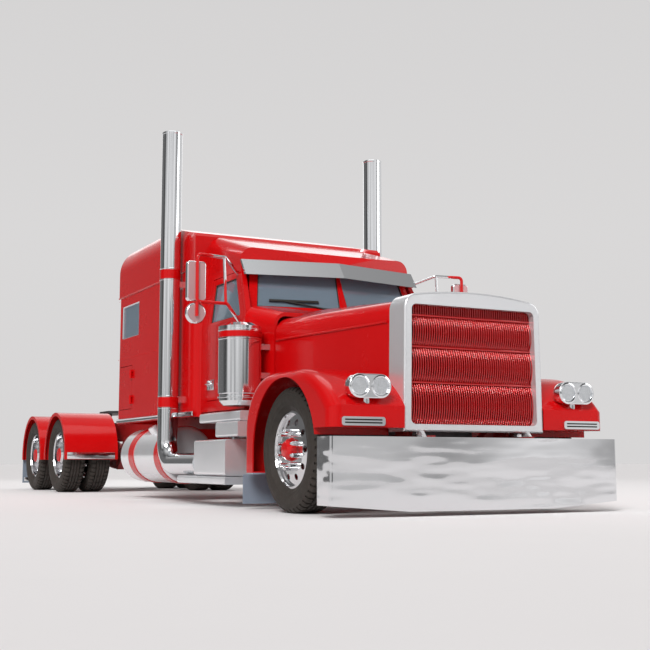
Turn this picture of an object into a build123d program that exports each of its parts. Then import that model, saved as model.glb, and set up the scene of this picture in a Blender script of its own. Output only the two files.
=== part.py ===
"""Long-nose tractor unit with a sleeper cab, a tilting hood and a tandem drive axle.

Millimetres. X points forward, Y to the driver's left, Z up. The origin lies on the ground below the middle
of the vehicle. Side outlines are drawn as (x, z) with x counted from the front axle, and AX moves them there.
"""
import os
from math import atan2, cos, hypot, radians, sin

from build123d import *

# Running gear
WHEELBASE = 7620            # front axle to the middle of the tandem
TANDEM_SPACING = 1320
FRONT_OVERHANG = 900        # front axle to the bumper's face
REAR_OVERHANG = 590         # rearmost axle to the rear end
TYRE_RADIUS = 480
TYRE_WIDTH = 276
RIM_RADIUS = 312            # over the rim's flanges
FRONT_TRACK_Y = 1069        # middle of a front tyre
DUAL_OUTER_Y = 1085         # middle of an outer rear tyre
DUAL_SPACING = 330
KINGPIN_Y = 898
STEER_ARM = 210             # from kingpin to tie rod, along the vehicle
LUG_COUNT = 10
HAND_HOLES = 10

# Frame
FRAME_TOP = 900
RAIL_HEIGHT = 240
RAIL_Y = 432                # outer face of a rail's web
RAIL_FLANGE = 90
RAIL_WALL = 12
RAIL_FRONT = 550            # forward end of the rails, from the front axle
HORN_WALL = 30

# Bumper
BUMPER_HALF_WIDTH = 1290
BUMPER_TOP = 566
BUMPER_BOTTOM = 34
BUMPER_END_BOTTOM = 84
BUMPER_BOW = 30
BUMPER_RETURN = 195
BUMPER_WALL = 10

# Hood, grille and fenders
HOOD_HINGE_X = 838          # from the front axle
HOOD_HINGE_Z = 520
HOOD_REAR = -1020
HOOD_WALL = 14
HOOD_LOW = 900
GRILLE_FRONT = 784
GRILLE_HALF_WIDTH = 636
GRILLE_LOW = 608
GRILLE_TOP = 1670
GRILLE_CORNER = 110
GRILLE_DEPTH = 218
GRILLE_SIDE = 62            # width of the surround's side bars
GRILLE_HEAD = 118           # depth of the surround's head
GRILLE_SILL = 54
GRILLE_BARS = 56
GRILLE_TAPER = 16           # how far each side leans in to the head
GRILLE_CROWN = 55           # rise of the head from its ends to its middle
FENDER_OUTER_Y = 1245
FENDER_WALL = 12
FENDER_ROUND = 90
ARCH_RADIUS = 552
LAMP_RADIUS = 72
LAMP_Y = (853, 1025)
LAMP_Z = 925

# Cab and sleeper
CAB_FRONT = -1360
CAB_REAR = -2420
CAB_HALF_WIDTH = 970
CAB_ROOF_HALF_WIDTH = 900
CAB_LOW = 860
CAB_EAVES = 2200
BELT_Z = 1680
FLOOR_Z = 920
FLOOR_WALL = 40
CAB_WALL = 50
COWL_FRONT = -1032
DOOR_GAP = 6
DOOR_LOW = 960
DOOR_HEAD = 2140
SLEEPER_REAR = -4885
SLEEPER_HALF_WIDTH = 1050
SLEEPER_LOW = 822
SLEEPER_SEAM = 2280
SLEEPER_TOP = 2900
GLASS = 8
FIT = 0.3                   # clearance round panes, pins and seats

# Fittings
STACK_RADIUS = 101
STACK_TOP = 3710
STACK_X = -2790
STACK_Y = SLEEPER_HALF_WIDTH + 122
TANK_RADIUS = 285
TANK_Y = 900
TANK_Z = 460
TANK_X = (-4300, -2950)
CLEANER_RADIUS = 187
CLEANER_X = -1120
CLEANER_Y = 1120
CLEANER_Z = (865, 1576)
FIFTH_WHEEL_X = -7520
FIFTH_WHEEL_TOP = 1085

# Places that follow from the sizes above
OVERALL_LENGTH = FRONT_OVERHANG + WHEELBASE + TANDEM_SPACING / 2 + REAR_OVERHANG
AX = OVERALL_LENGTH / 2 - FRONT_OVERHANG
REAR_AXLES = (-WHEELBASE + TANDEM_SPACING / 2, -WHEELBASE - TANDEM_SPACING / 2)
REAR_END = -WHEELBASE - TANDEM_SPACING / 2 - REAR_OVERHANG
FRAME_LOW = FRAME_TOP - RAIL_HEIGHT
HUB_Z = TYRE_RADIUS
SIDES = {"right": -1, "left": 1}

nodes = {}


def block(x, y, z):
    """A box between pairs of limits, x from the front axle."""
    size = [high - low for low, high in (x, y, z)]
    middle = [(low + high) / 2 for low, high in (x, y, z)]
    return Pos(AX + middle[0], middle[1], middle[2]) * Box(*size)


def outline(points):
    """A flat face inside straight edges."""
    return make_face(Polyline(*points, close=True))


def across(face, low, high):
    """A side outline (x, z) run across the vehicle between two y values."""
    return extrude(Plane((AX, high, 0), x_dir=(1, 0, 0), z_dir=(0, -1, 0)) * face, high - low)


def along(face, rear, front):
    """A cross section (y, z) run along the vehicle between two x values from the front axle."""
    return extrude(Plane((AX + rear, 0, 0), x_dir=(0, 1, 0), z_dir=(1, 0, 0)) * face, front - rear)


def up(face, low, high):
    """A plan outline (x, y) run upwards."""
    return extrude(Plane((AX, 0, low)) * face, high - low)


def rod(start, end, radius):
    """A round bar between two points, x from the front axle."""
    axis = Vector(*end) - Vector(*start)
    foot = Plane((AX + start[0], start[1], start[2]), z_dir=axis)
    return extrude(foot * Circle(radius), axis.length)


def bent_tube(points, bend, radius):
    """A round tube along straight runs with rounded corners, x from the front axle."""
    path = FilletPolyline(*[(AX + x, y, z) for x, y, z in points], radius=bend)
    section = Plane(path @ 0, z_dir=path % 0) * Circle(radius)
    return sweep(section, path=path)


def mirrored(shape):
    """The same shape on the other side of the vehicle."""
    return mirror(shape, about=Plane.XZ)


def fused(shapes):
    """One solid from shapes that meet."""
    first, *rest = shapes
    return first.fuse(*rest).clean() if rest else first


def keep(name, *shapes):
    """Stores a node's solids."""
    solids = [solid for shape in shapes for solid in shape.solids()]
    nodes[name] = solids[0] if len(solids) == 1 else Compound(children=solids)


def wheel_spin(profile, y):
    """A left-hand wheel section (radius, distance outboard) spun round an axle at the front."""
    section = Plane((AX, y, HUB_Z), x_dir=(0, 0, 1), z_dir=(-1, 0, 0)) * profile
    return revolve(section, Axis((AX, 0, HUB_Z), (0, 1, 0)), 360)


def frame():
    """Two channel rails, crossmembers and the front horns that carry the bumper and the hood's pins."""
    inner = RAIL_Y - RAIL_FLANGE
    web = RAIL_Y - RAIL_WALL
    channel = outline([(RAIL_Y, FRAME_LOW), (RAIL_Y, FRAME_TOP), (inner, FRAME_TOP),
                       (inner, FRAME_TOP - RAIL_WALL),
                       (web, FRAME_TOP - RAIL_WALL), (web, FRAME_LOW + RAIL_WALL),
                       (inner, FRAME_LOW + RAIL_WALL),
                       (inner, FRAME_LOW)])
    rail = along(channel, REAR_END, RAIL_FRONT)
    horn_y = (RAIL_Y, RAIL_Y + HORN_WALL)
    horn_tip = FRONT_OVERHANG - BUMPER_BOW * (horn_y[1] / BUMPER_HALF_WIDTH) ** 2 - BUMPER_WALL - FIT
    horn = across(outline([(RAIL_FRONT - 250, FRAME_LOW), (RAIL_FRONT - 20, FRAME_LOW - 170),
                           (horn_tip, FRAME_LOW - 170),
                           (horn_tip, GRILLE_LOW - 30), (RAIL_FRONT + 20, GRILLE_LOW - 30),
                           (RAIL_FRONT - 20, FRAME_TOP - 90), (RAIL_FRONT - 250, FRAME_TOP - 90)]), *horn_y)
    pin = rod((HOOD_HINGE_X, horn_y[0], HOOD_HINGE_Z), (HOOD_HINGE_X, horn_y[1] + 40, HOOD_HINGE_Z), 14)
    beams = [block((x - 35, x + 35), (-web, web), (FRAME_TOP - 125, FRAME_TOP - 20))
             for x in (RAIL_FRONT - 60, CAB_REAR, SLEEPER_REAR + 900, SLEEPER_REAR - 500, -WHEELBASE,
                       REAR_END + 65)]
    keep("frame", fused([rail, mirrored(rail), horn, mirrored(horn), pin, mirrored(pin), *beams]))


def bumper():
    """A bowed chrome sheet with returned ends and a lower edge that rises towards them."""
    end_x = FRONT_OVERHANG - BUMPER_BOW

    def plan(wall):
        half = BUMPER_HALF_WIDTH - wall
        face = ThreePointArc((end_x - wall, half), (FRONT_OVERHANG - wall, 0), (end_x - wall, -half))
        back = end_x - BUMPER_RETURN - (0 if wall == 0 else 50)
        ends = Polyline((end_x - wall, -half), (back, -half), (back, half), (end_x - wall, half))
        return make_face(face + ends)

    sheet = up(plan(0), BUMPER_BOTTOM, BUMPER_TOP) - up(plan(BUMPER_WALL), 0, BUMPER_TOP + 50)
    corners = sheet.edges().filter_by(Axis.Z).filter_by_position(Axis.X, AX + end_x - 2, AX + end_x + 2)
    sheet = fillet(corners, 24)
    flat_half = BUMPER_HALF_WIDTH * 0.5
    rise = BUMPER_END_BOTTOM - BUMPER_BOTTOM
    for side in SIDES.values():
        wedge = outline([(side * flat_half, BUMPER_BOTTOM),
                         (side * (BUMPER_HALF_WIDTH + 10), BUMPER_BOTTOM + rise),
                         (side * (BUMPER_HALF_WIDTH + 10), 0), (side * flat_half, 0)])
        sheet -= along(wedge, 0, FRONT_OVERHANG + 50)
    keep("bumper", sheet)


def engine_bay():
    """The engine with its gearbox as one plain block, and the radiator on the rails."""
    half = RAIL_Y - RAIL_FLANGE - 10
    body = across(outline([(-1250, 560), (250, 560), (250, 1330), (150, 1420), (-1150, 1420),
                           (-1250, 1300)]), -half, half)
    body = chamfer(body.edges().filter_by(Axis.X).group_by(Axis.Z)[-1], 70)
    gearbox = across(outline([(-1250, 560), (-1250, FRAME_TOP - 15), (-1400, FRAME_TOP - 15), (-2150, 820),
                              (-2150, 600)]),
                     -240, 240)
    mounts = [block((x - 60, x + 60), (half - 1, RAIL_Y - RAIL_WALL), (720, 800)) for x in (100, -1050)]
    keep("engine", fused([body, gearbox, *mounts, *[mirrored(mount) for mount in mounts]]))
    core = block((RAIL_FRONT - 130, RAIL_FRONT - 20), (-505, 505), (FRAME_TOP, 1500))
    tank = block((RAIL_FRONT - 140, RAIL_FRONT - 10), (-470, 470), (1500, 1560))
    keep("radiator", fused([core, fillet(tank.edges().filter_by(Axis.Y), 25)]))


SPRING_Y = 387              # middle of a front leaf spring, below a rail
BEAM_Z = 400                # middle of the dropped front axle beam


def front_axle():
    """A dropped I-beam with an eye at each end for the kingpin, and leaf springs above it."""
    flange, web, depth = 56, 18, 110
    section = [(-flange, -depth / 2), (flange, -depth / 2), (flange, -depth / 2 + 24),
               (web, -depth / 2 + 24),
               (web, depth / 2 - 24), (flange, depth / 2 - 24), (flange, depth / 2), (-flange, depth / 2),
               (-flange, depth / 2 - 24), (-web, depth / 2 - 24), (-web, -depth / 2 + 24),
               (-flange, -depth / 2 + 24)]
    drop = KINGPIN_Y - 170
    beam = extrude(Plane((AX, -drop + 90, BEAM_Z), x_dir=(1, 0, 0),
                         z_dir=(0, 1, 0)) * outline([(x, -z) for x, z in section]),
                   2 * (drop - 90))
    arm = extrude(Plane((AX - 56, 0, 0), x_dir=(0, 1, 0), z_dir=(1, 0, 0))
                  * outline([(drop - 90, BEAM_Z - depth / 2), (KINGPIN_Y - 75, HUB_Z - 52),
                             (KINGPIN_Y, HUB_Z - 52),
                             (KINGPIN_Y, HUB_Z + 52), (KINGPIN_Y - 75, HUB_Z + 52),
                             (drop - 90, BEAM_Z + depth / 2)]), 112)
    eye = Pos(AX, KINGPIN_Y, HUB_Z) * Cylinder(56, 104)
    pin = Pos(AX, KINGPIN_Y, HUB_Z) * Cylinder(22, 280)
    keep("front_axle", fused([beam, arm, eye, pin, mirrored(arm), mirrored(eye), mirrored(pin)]))


def suspension():
    """Leaf springs over the front axle and trailing beams with air bags at the rear axles."""
    front, rear = RAIL_FRONT - 50, -RAIL_FRONT - 90
    middle, leaf_low = (front + rear) / 2, BEAM_Z + 55 + FIT
    arc = make_face(ThreePointArc((rear, FRAME_LOW), (middle, leaf_low), (front, FRAME_LOW))
                    + Polyline((front, FRAME_LOW), (front - 60, FRAME_LOW))
                    + ThreePointArc((front - 60, FRAME_LOW), (middle, leaf_low + 60),
                                    (rear + 60, FRAME_LOW))
                    + Polyline((rear + 60, FRAME_LOW), (rear, FRAME_LOW)))
    spring = across(arc, SPRING_Y - 45, SPRING_Y + 45)
    springs = [spring, mirrored(spring)]
    for axle_x in REAR_AXLES:
        bag = Pos(AX + axle_x - 330, SPRING_Y, (430 + FRAME_LOW) / 2) * Cylinder(115, FRAME_LOW - 430)
        beam = across(outline([(axle_x + 420, FRAME_LOW), (axle_x + 420, FRAME_LOW - 120),
                               (axle_x + 120, HUB_Z - 190),
                               (axle_x - 450, HUB_Z - 110), (axle_x - 450, 430), (axle_x - 140, 430),
                               (axle_x - 120, HUB_Z - 130), (axle_x + 120, HUB_Z - 130),
                               (axle_x + 340, FRAME_LOW)]), SPRING_Y - 45, SPRING_Y + 45)
        arm = fused([beam, bag])
        springs += [arm, mirrored(arm)]
    keep("suspension", *springs)


AXLE_TUBE = 75
SPINDLE_RADIUS = 60


def drive_axles():
    """Two axle housings with their differentials, hub spindles and the shafts that drive them."""
    housings = []
    spindle_end = DUAL_OUTER_Y + 100
    for axle_x in REAR_AXLES:
        tube = rod((axle_x, -spindle_end, HUB_Z), (axle_x, spindle_end, HUB_Z), SPINDLE_RADIUS)
        middle = rod((axle_x, -560, HUB_Z), (axle_x, 560, HUB_Z), AXLE_TUBE)
        bowl = Pos(AX + axle_x, 0, HUB_Z) * Sphere(190)
        saddles = [block((axle_x - 90, axle_x + 90), (y - 50, y + 50),
                         (HUB_Z - 130, HUB_Z)) for y in (-SPRING_Y, SPRING_Y)]
        nose = rod((axle_x, 0, HUB_Z + 30), (axle_x + 330, 0, HUB_Z + 60), 70)
        housings.append(fused([tube, middle, bowl, nose, *saddles]))
    front, rear = REAR_AXLES
    long_shaft = rod((front + 330, 0, HUB_Z + 60), (-2152.5, 0, 700), 62)
    short_shaft = rod((rear + 330, 0, HUB_Z + 60), (front - 170, 0, HUB_Z + 45), 55)
    keep("drive_axles", fused([*housings, long_shaft, short_shaft]))


def hood_section(x, half_width, side_top, crown, wall, low):
    """A hood cross section: upright sides, round shoulders and a crowned top."""
    w = half_width - wall
    top, middle = side_top - wall, crown - wall
    shoulder = 150 - wall
    bend = shoulder * (1 - cos(radians(45)))
    face = make_face(Polyline((w, low), (w, top - shoulder))
                     + ThreePointArc((w, top - shoulder), (w - bend, top - bend), (w - shoulder, top))
                     + ThreePointArc((w - shoulder, top), (0, middle), (-w + shoulder, top))
                     + ThreePointArc((-w + shoulder, top), (-w + bend, top - bend), (-w, top - shoulder))
                     + Polyline((-w, top - shoulder), (-w, low), (w, low)))
    return Plane((AX + x, 0, 0), x_dir=(0, 1, 0), z_dir=(1, 0, 0)) * face


# Hood sections: x from the front axle, half width, top of the side, crown
HOOD_SECTIONS = [
    (GRILLE_FRONT - GRILLE_DEPTH, 622, 1608, 1660),
    (HOOD_REAR, 828, 1640, 1770),
]


def hood_solid(wall, low, reach=0):
    """The hood's outer form, or its inside when a wall is given, with both ends stretched by reach."""
    (front_x, *front), (rear_x, *rear) = HOOD_SECTIONS
    share = reach / (front_x - rear_x)
    ahead = [f + (f - r) * share for f, r in zip(front, rear)]
    behind = [r + (r - f) * share for f, r in zip(front, rear)]
    return loft([hood_section(front_x + reach, *ahead, wall, low),
                 hood_section(rear_x - reach, *behind, wall, low)])


def grille_outline(inset):
    """The grille surround's outline with round upper corners and a crowned head."""
    half = GRILLE_HALF_WIDTH - inset
    upper = half - GRILLE_TAPER
    shoulder = GRILLE_TOP - GRILLE_CROWN - inset
    low = GRILLE_LOW + inset
    head = ThreePointArc((upper, shoulder), (0, GRILLE_TOP - inset), (-upper, shoulder))
    rest = Polyline((-upper, shoulder), (-half, low), (half, low), (upper, shoulder))
    face = make_face(head + rest)
    return fillet(face.vertices().group_by(Axis.Y)[-1], GRILLE_CORNER - inset / 2)


def grille_parts():
    """The chrome surround, open at the back and below, and the grille's bars behind its opening."""
    rear = GRILLE_FRONT - GRILLE_DEPTH
    lip = GRILLE_FRONT - 60
    shell = along(grille_outline(0), rear, GRILLE_FRONT)
    shell = fillet(shell.edges().group_by(Axis.X)[-1], 16)
    shell -= along(grille_outline(HOOD_WALL), rear - 10, lip)
    half = GRILLE_HALF_WIDTH - GRILLE_SIDE
    shell -= block((rear - 10, lip), (-half, half), (GRILLE_LOW - 10, GRILLE_LOW + 40))
    head = GRILLE_TOP - GRILLE_HEAD
    sill = GRILLE_LOW + GRILLE_SILL
    mouth = fillet(outline([(half, sill), (half - 14, head), (-half + 14, head), (-half, sill)]).vertices(),
                   40)
    shell -= along(mouth, lip - 10, GRILLE_FRONT + 10)
    shell -= hood_solid(0, HOOD_LOW)
    arm_y = (RAIL_Y + HORN_WALL + DOOR_GAP, RAIL_Y + HORN_WALL + DOOR_GAP + 30)
    bore = rod((HOOD_HINGE_X, arm_y[0] - 10, HOOD_HINGE_Z), (HOOD_HINGE_X, arm_y[1] + 10, HOOD_HINGE_Z),
               14 + FIT)
    arm = across(outline([(lip + 2, GRILLE_LOW + 30), (lip + 2, GRILLE_LOW - 25),
                          (HOOD_HINGE_X - 26, HOOD_HINGE_Z - 20),
                          (HOOD_HINGE_X + 8, HOOD_HINGE_Z - 26), (HOOD_HINGE_X + 8, HOOD_HINGE_Z + 26),
                          (GRILLE_FRONT - 4, GRILLE_LOW + 10), (GRILLE_FRONT - 4, GRILLE_LOW + 30)]),
                 *arm_y) - bore
    keep("grille_surround", fused([shell, arm, mirrored(arm)]))
    bar_x = (lip - 26, lip - 13)
    back_x = (lip - 39, lip - 26)
    pitch = 2 * half / GRILLE_BARS
    bars = [block(bar_x, (-half + (i + 0.3) * pitch, -half + (i + 0.7) * pitch), (sill - 12, head + 12))
            for i in range(GRILLE_BARS)]
    ties = [block(back_x, (-half - 2, half + 2), (z - 14, z + 14))
            for z in (sill + 2, sill + (head - sill) * 0.35, sill + (head - sill) * 0.65, head - 90,
                      head - 2)]
    ends = [block((back_x[0], lip - FIT), (low, low + 12), (sill, head - 40)) for low in (-half - 14,
                                                                                          half + 2)]
    keep("grille", fused([*bars, *ties, *ends]))


FENDER_TOP = 1085
FENDER_NOSE_X = 794         # flat front of a fender, from the front axle
FENDER_NOSE_LOW = 632
FENDER_NOSE_HIGH = 790
FENDER_TAIL_X = -745
FENDER_TAIL_LOW = 300
FENDER_INNER_Y = 560
FENDER_BACK = 460           # radius of a fender's back corner
FENDER_BROW_X = 170         # where its top starts to slope to the nose


def fender_outline():
    """A front fender from the side: upright behind, round over the wheel and lower at the front."""
    turn = radians(45)
    knee = (FENDER_TAIL_X, FENDER_TOP - FENDER_BACK)
    bend = (FENDER_TAIL_X + FENDER_BACK * (1 - cos(turn)), FENDER_TOP - FENDER_BACK * (1 - sin(turn)))
    crest = (FENDER_TAIL_X + FENDER_BACK, FENDER_TOP)
    brow = (FENDER_BROW_X, FENDER_TOP)
    corner = (FENDER_NOSE_X, FENDER_NOSE_HIGH)
    run, drop = FENDER_NOSE_X - FENDER_BROW_X, FENDER_TOP - FENDER_NOSE_HIGH
    sweep = (run ** 2 + drop ** 2) / (2 * drop)
    half_turn = atan2(run, sweep - drop) / 2
    slope = (FENDER_BROW_X + sweep * sin(half_turn), FENDER_TOP - sweep * (1 - cos(half_turn)))
    inside = ARCH_RADIUS - 10
    return make_face(
        Polyline((FENDER_TAIL_X, FENDER_TAIL_LOW), knee)
        + ThreePointArc(knee, bend, crest)
        + Polyline(crest, brow)
        + ThreePointArc(brow, slope, corner)
        + Polyline(corner, (FENDER_NOSE_X, FENDER_NOSE_LOW), (inside, FENDER_NOSE_LOW),
                   (inside, FENDER_TAIL_LOW), (FENDER_TAIL_X, FENDER_TAIL_LOW)))


def fender_form(wall, inner_y):
    """The left fender's full form with a round outer edge, or its inside when a wall is given."""
    face = offset(fender_outline(), -wall, kind=Kind.TANGENT) if wall else fender_outline()
    solid = across(face, inner_y, FENDER_OUTER_Y - wall)
    rim = solid.edges().group_by(Axis.Y)[-1]
    crown = [edge for edge in rim
             if edge.center().Z > FENDER_NOSE_LOW + 20 or edge.center().X < AX + FENDER_TAIL_X + 110]
    return fillet(crown, FENDER_ROUND - wall)


def fenders():
    """Front fenders: one skin over each wheel, open below and towards the engine."""
    void = fender_form(FENDER_WALL, FENDER_INNER_Y - 50)
    arch = rod((0, FENDER_INNER_Y, HUB_Z), (0, FENDER_OUTER_Y + 20, HUB_Z), ARCH_RADIUS)
    below = block((-ARCH_RADIUS, ARCH_RADIUS - 12), (FENDER_INNER_Y, FENDER_OUTER_Y + 20),
                  (FENDER_TAIL_LOW - 30, HUB_Z))
    surround = along(grille_outline(0), GRILLE_FRONT - GRILLE_DEPTH, GRILLE_FRONT + 50)
    left = fender_form(0, FENDER_INNER_Y) - void - arch - below - hood_solid(0, 300, 60) - surround
    left = left.solids().sort_by(SortBy.VOLUME)[-1]
    keep("front_fenders", mirrored(left), left)


def hood():
    """The hood's shell between the grille surround and the cowl, open below."""
    shell = hood_solid(0, HOOD_LOW) - hood_solid(HOOD_WALL, HOOD_LOW - 40, 60)
    keep("hood", shell)


SIGNAL_Y = (812, 1168)
SIGNAL_Z = (642, 706)


def lamps():
    """Oblong chrome pods on stems with two round lamps each, and slatted turn signals below them."""
    middle = sum(LAMP_Y) / 2
    pod_front, pod_rear = GRILLE_FRONT + 46, GRILLE_FRONT - 76
    height = 2 * LAMP_RADIUS + 32
    plate = Plane((AX + pod_rear, middle, LAMP_Z), x_dir=(0, 1, 0), z_dir=(1, 0, 0))
    pod = extrude(plate * SlotCenterToCenter(LAMP_Y[1] - LAMP_Y[0], height), pod_front - pod_rear)
    pod = fillet(pod.edges().group_by(Axis.X)[0], 62)
    pod = fillet(pod.edges().group_by(Axis.X)[-1], 8)
    stem = rod((pod_rear + 50, middle, FENDER_NOSE_HIGH - 30), (pod_rear + 50, middle, LAMP_Z - 40),
               26) - fender_form(0, FENDER_INNER_Y)
    stem = stem.solids().sort_by(Axis.Z)[-1]
    pod = fused([pod - fender_form(0, FENDER_INNER_Y), stem])
    lenses = []
    for y in LAMP_Y:
        pod -= rod((pod_front - 34, y, LAMP_Z), (pod_front + 10, y, LAMP_Z), LAMP_RADIUS + FIT)
        lens = rod((pod_front - 34, y, LAMP_Z), (pod_front - 6, y, LAMP_Z), LAMP_RADIUS)
        lens = fillet(lens.edges().group_by(Axis.X)[-1], 14)
        lenses += [mirrored(lens), lens]
    signal = block((FENDER_NOSE_X, FENDER_NOSE_X + 26), SIGNAL_Y, SIGNAL_Z)
    signal = fillet(signal.edges().filter_by(Axis.X), 20)
    slot = (SIGNAL_Z[1] - SIGNAL_Z[0]) / 6
    for step in (1, 3):
        z = SIGNAL_Z[0] + slot * (step + 0.5)
        signal -= block((FENDER_NOSE_X + 14, FENDER_NOSE_X + 30), (SIGNAL_Y[0] + 26, SIGNAL_Y[1] - 26),
                        (z, z + slot))
    keep("headlamps", mirrored(pod), pod, mirrored(signal), signal)
    keep("lamp_lenses", *lenses)


# Cab side outline and door outline, (x from the front axle, z)
PILLAR_RUN = 275            # how far the screen pillars lean back
CAB_SIDE = [(CAB_FRONT, CAB_LOW), (CAB_REAR, CAB_LOW), (CAB_REAR, CAB_EAVES),
            (CAB_FRONT - PILLAR_RUN, CAB_EAVES),
            (CAB_FRONT, 1740)]
DOOR_FRONT = CAB_FRONT - 45
DOOR_REAR = -2275
DOOR_SIDE = [(DOOR_FRONT, DOOR_LOW), (DOOR_REAR, DOOR_LOW), (DOOR_REAR, DOOR_HEAD),
             (DOOR_FRONT - 245, DOOR_HEAD),
             (DOOR_FRONT, 1730)]
WINDOW_SIDE = [(DOOR_FRONT - 80, 1705), (DOOR_REAR + 75, 1705), (DOOR_REAR + 75, DOOR_HEAD - 65),
               (DOOR_FRONT - 290, DOOR_HEAD - 65), (DOOR_FRONT - 100, 1750)]


def cab_section(wall):
    """The cab's cross section: upright to the belt line, then leaning in to the eaves."""
    half, eaves = CAB_HALF_WIDTH - wall, CAB_ROOF_HALF_WIDTH - wall
    right_side = [(half, CAB_LOW - wall), (half, BELT_Z), (eaves, CAB_EAVES + wall)]
    return outline(right_side + [(-y, z) for y, z in reversed(right_side)])


def cab_skin():
    """The cab's side walls as one tunnel, cut to its side outline."""
    tunnel = along(cab_section(0), CAB_REAR, CAB_FRONT) - along(cab_section(CAB_WALL), CAB_REAR - 10,
                                                                CAB_FRONT + 10)
    return tunnel & across(outline(CAB_SIDE), -CAB_HALF_WIDTH - 10, CAB_HALF_WIDTH + 10)


# Windscreen: two flat halves that meet at a centre post ahead of the corners, (x, y, z)
SCREEN_CENTRE = (-1268, 0, 1770)
SCREEN_CORNER = (-1440, 905, 1745)
SCREEN_RAKE = 0.42          # rearward run for each unit of height
SCREEN_HEIGHT = 502
SCREEN_WALL = 40


def screen_plane(side):
    """A plane on one windscreen half: x runs to the left along its base and y up the glass."""
    base = Vector(SCREEN_CORNER[0] - SCREEN_CENTRE[0], side * SCREEN_CORNER[1], 0)
    slope = Vector(-SCREEN_RAKE, 0, 1)
    normal = base.cross(slope) * side
    foot = (AX + SCREEN_CENTRE[0], 0, SCREEN_CENTRE[2] - 30)
    return Plane(foot, x_dir=base * side, z_dir=normal)


def screen_half(side, kind):
    """One windscreen half: its panel, the opening through it, or the pane in that opening."""
    plane = screen_plane(side)
    run = hypot(SCREEN_CORNER[0] - SCREEN_CENTRE[0], SCREEN_CORNER[1])
    panel = outline([(0, 0), (side * run, 0), (side * (run - 55), SCREEN_HEIGHT), (0, SCREEN_HEIGHT)])
    pane = outline([(side * 45, 55), (side * (run - 85), 55), (side * (run - 125), SCREEN_HEIGHT - 50),
                    (side * 45, SCREEN_HEIGHT - 50)])
    if kind == "pane":
        inner = offset(pane, -FIT, kind=Kind.TANGENT)
        return extrude(plane.offset(-SCREEN_WALL / 2) * inner, GLASS)
    if kind == "opening":
        return extrude(plane.offset(60) * pane, -SCREEN_WALL - 160)
    return extrude(plane * panel, -SCREEN_WALL)


def cowl_form(wall):
    """The cowl between hood and windscreen, or its inside when a wall is given."""
    def section(x, half, low, top):
        face = RectangleRounded(2 * (half - wall), top - low - 2 * wall, 120 - wall)
        return Plane((AX + x, 0, (top + low) / 2), x_dir=(0, 1, 0), z_dir=(1, 0, 0)) * face
    stretch = 20 if wall else 0
    return loft([section(COWL_FRONT + stretch, 838, 960, 1690),
                 section(CAB_FRONT - stretch, CAB_HALF_WIDTH, CAB_LOW, 1778)])


HINGE_BARREL = 15
HINGE_PIN = 8
HINGE_STANDOFF = 16         # from the skin out to the pin


def hinge(edge_x, skin_y, z, plate):
    """A left-hand strap hinge at a leaf's front edge: the leaf's half, then the frame's half with its pin."""
    x, y = edge_x - DOOR_GAP / 2, skin_y + HINGE_STANDOFF
    bore = rod((x, y, z - 70), (x, y, z + 70), HINGE_PIN + FIT)
    sleeve = rod((x, y, z - 25), (x, y, z + 25), HINGE_BARREL)
    leaf = fused([sleeve, block((x - plate, x - 2), (skin_y, skin_y + 8), (z - 25, z + 25))]) - bore
    ears = [rod((x, y, z + low), (x, y, z + low + 24), HINGE_BARREL) for low in (-49.5, 25.5)]
    tabs = [block((x + 2, x + 42), (skin_y, skin_y + 8), (z + low, z + low + 24)) for low in (-49.5, 25.5)]
    pin = rod((x, y, z - 49.5), (x, y, z + 49.5), HINGE_PIN)
    return leaf, fused([*ears, *tabs, pin])


def hinged(leaf, frame_solid, edge_x, skin_y, heights, plate=90):
    """Adds hinges to a left-hand leaf and to both sides of the frame that carries it."""
    for z in heights:
        leaf_half, frame_half = hinge(edge_x, skin_y, z, plate)
        leaf = fused([leaf, leaf_half])
        frame_solid = fused([frame_solid, frame_half, mirrored(frame_half)])
    return leaf, frame_solid


DOOR_HINGES = (1130, 1560)
LUGGAGE_HINGES = (1080, 1365)


def cab():
    """The cab's body: side walls with door openings, floor, firewall, cowl and windscreen frame."""
    skin = cab_skin() - across(outline(DOOR_SIDE), -CAB_HALF_WIDTH - 20, CAB_HALF_WIDTH + 20)
    inside = CAB_HALF_WIDTH - CAB_WALL + 2
    floor = block((CAB_REAR, CAB_FRONT), (-inside, inside), (FLOOR_Z, FLOOR_Z + FLOOR_WALL))
    firewall = block((CAB_FRONT - CAB_WALL, CAB_FRONT), (-inside, inside), (FLOOR_Z, 1740))
    tunnel = block((CAB_FRONT + 2, COWL_FRONT + 50), (-RAIL_Y + 30, RAIL_Y - 30), (0, 1470))
    cowl = cowl_form(0) - cowl_form(40) - tunnel
    body = fused([skin, floor, firewall, cowl, screen_half(1, "frame"), screen_half(-1, "frame")])
    body -= block((CAB_FRONT - 400, COWL_FRONT + 10), (-RAIL_Y - 20, RAIL_Y + 20), (0, FRAME_TOP + 5))
    for side in (-1, 1):
        body -= screen_half(side, "opening")
    body -= block((CAB_REAR, COWL_FRONT), (-CAB_HALF_WIDTH, CAB_HALF_WIDTH), (CAB_EAVES, CAB_EAVES + 100))
    leaf = cab_skin() & across(offset(outline(DOOR_SIDE), -DOOR_GAP, kind=Kind.TANGENT), 0,
                               CAB_HALF_WIDTH + 20)
    leaf -= across(outline(WINDOW_SIDE), 0, CAB_HALF_WIDTH + 20)
    leaf, body = hinged(leaf, body, DOOR_FRONT, CAB_HALF_WIDTH, DOOR_HINGES)
    keep("cab_body", body)
    keep("door_right", mirrored(leaf))
    keep("door_left", leaf)
    panes = [screen_half(side, "pane") for side in (-1, 1)]
    window = offset(outline(SLEEPER_WINDOW), -FIT, kind=Kind.TANGENT)
    middle = SLEEPER_HALF_WIDTH - CAB_WALL / 2
    pane = across(window, middle - GLASS / 2, middle + GLASS / 2)
    keep("cab_glass", *panes, mirrored(pane), pane)


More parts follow.
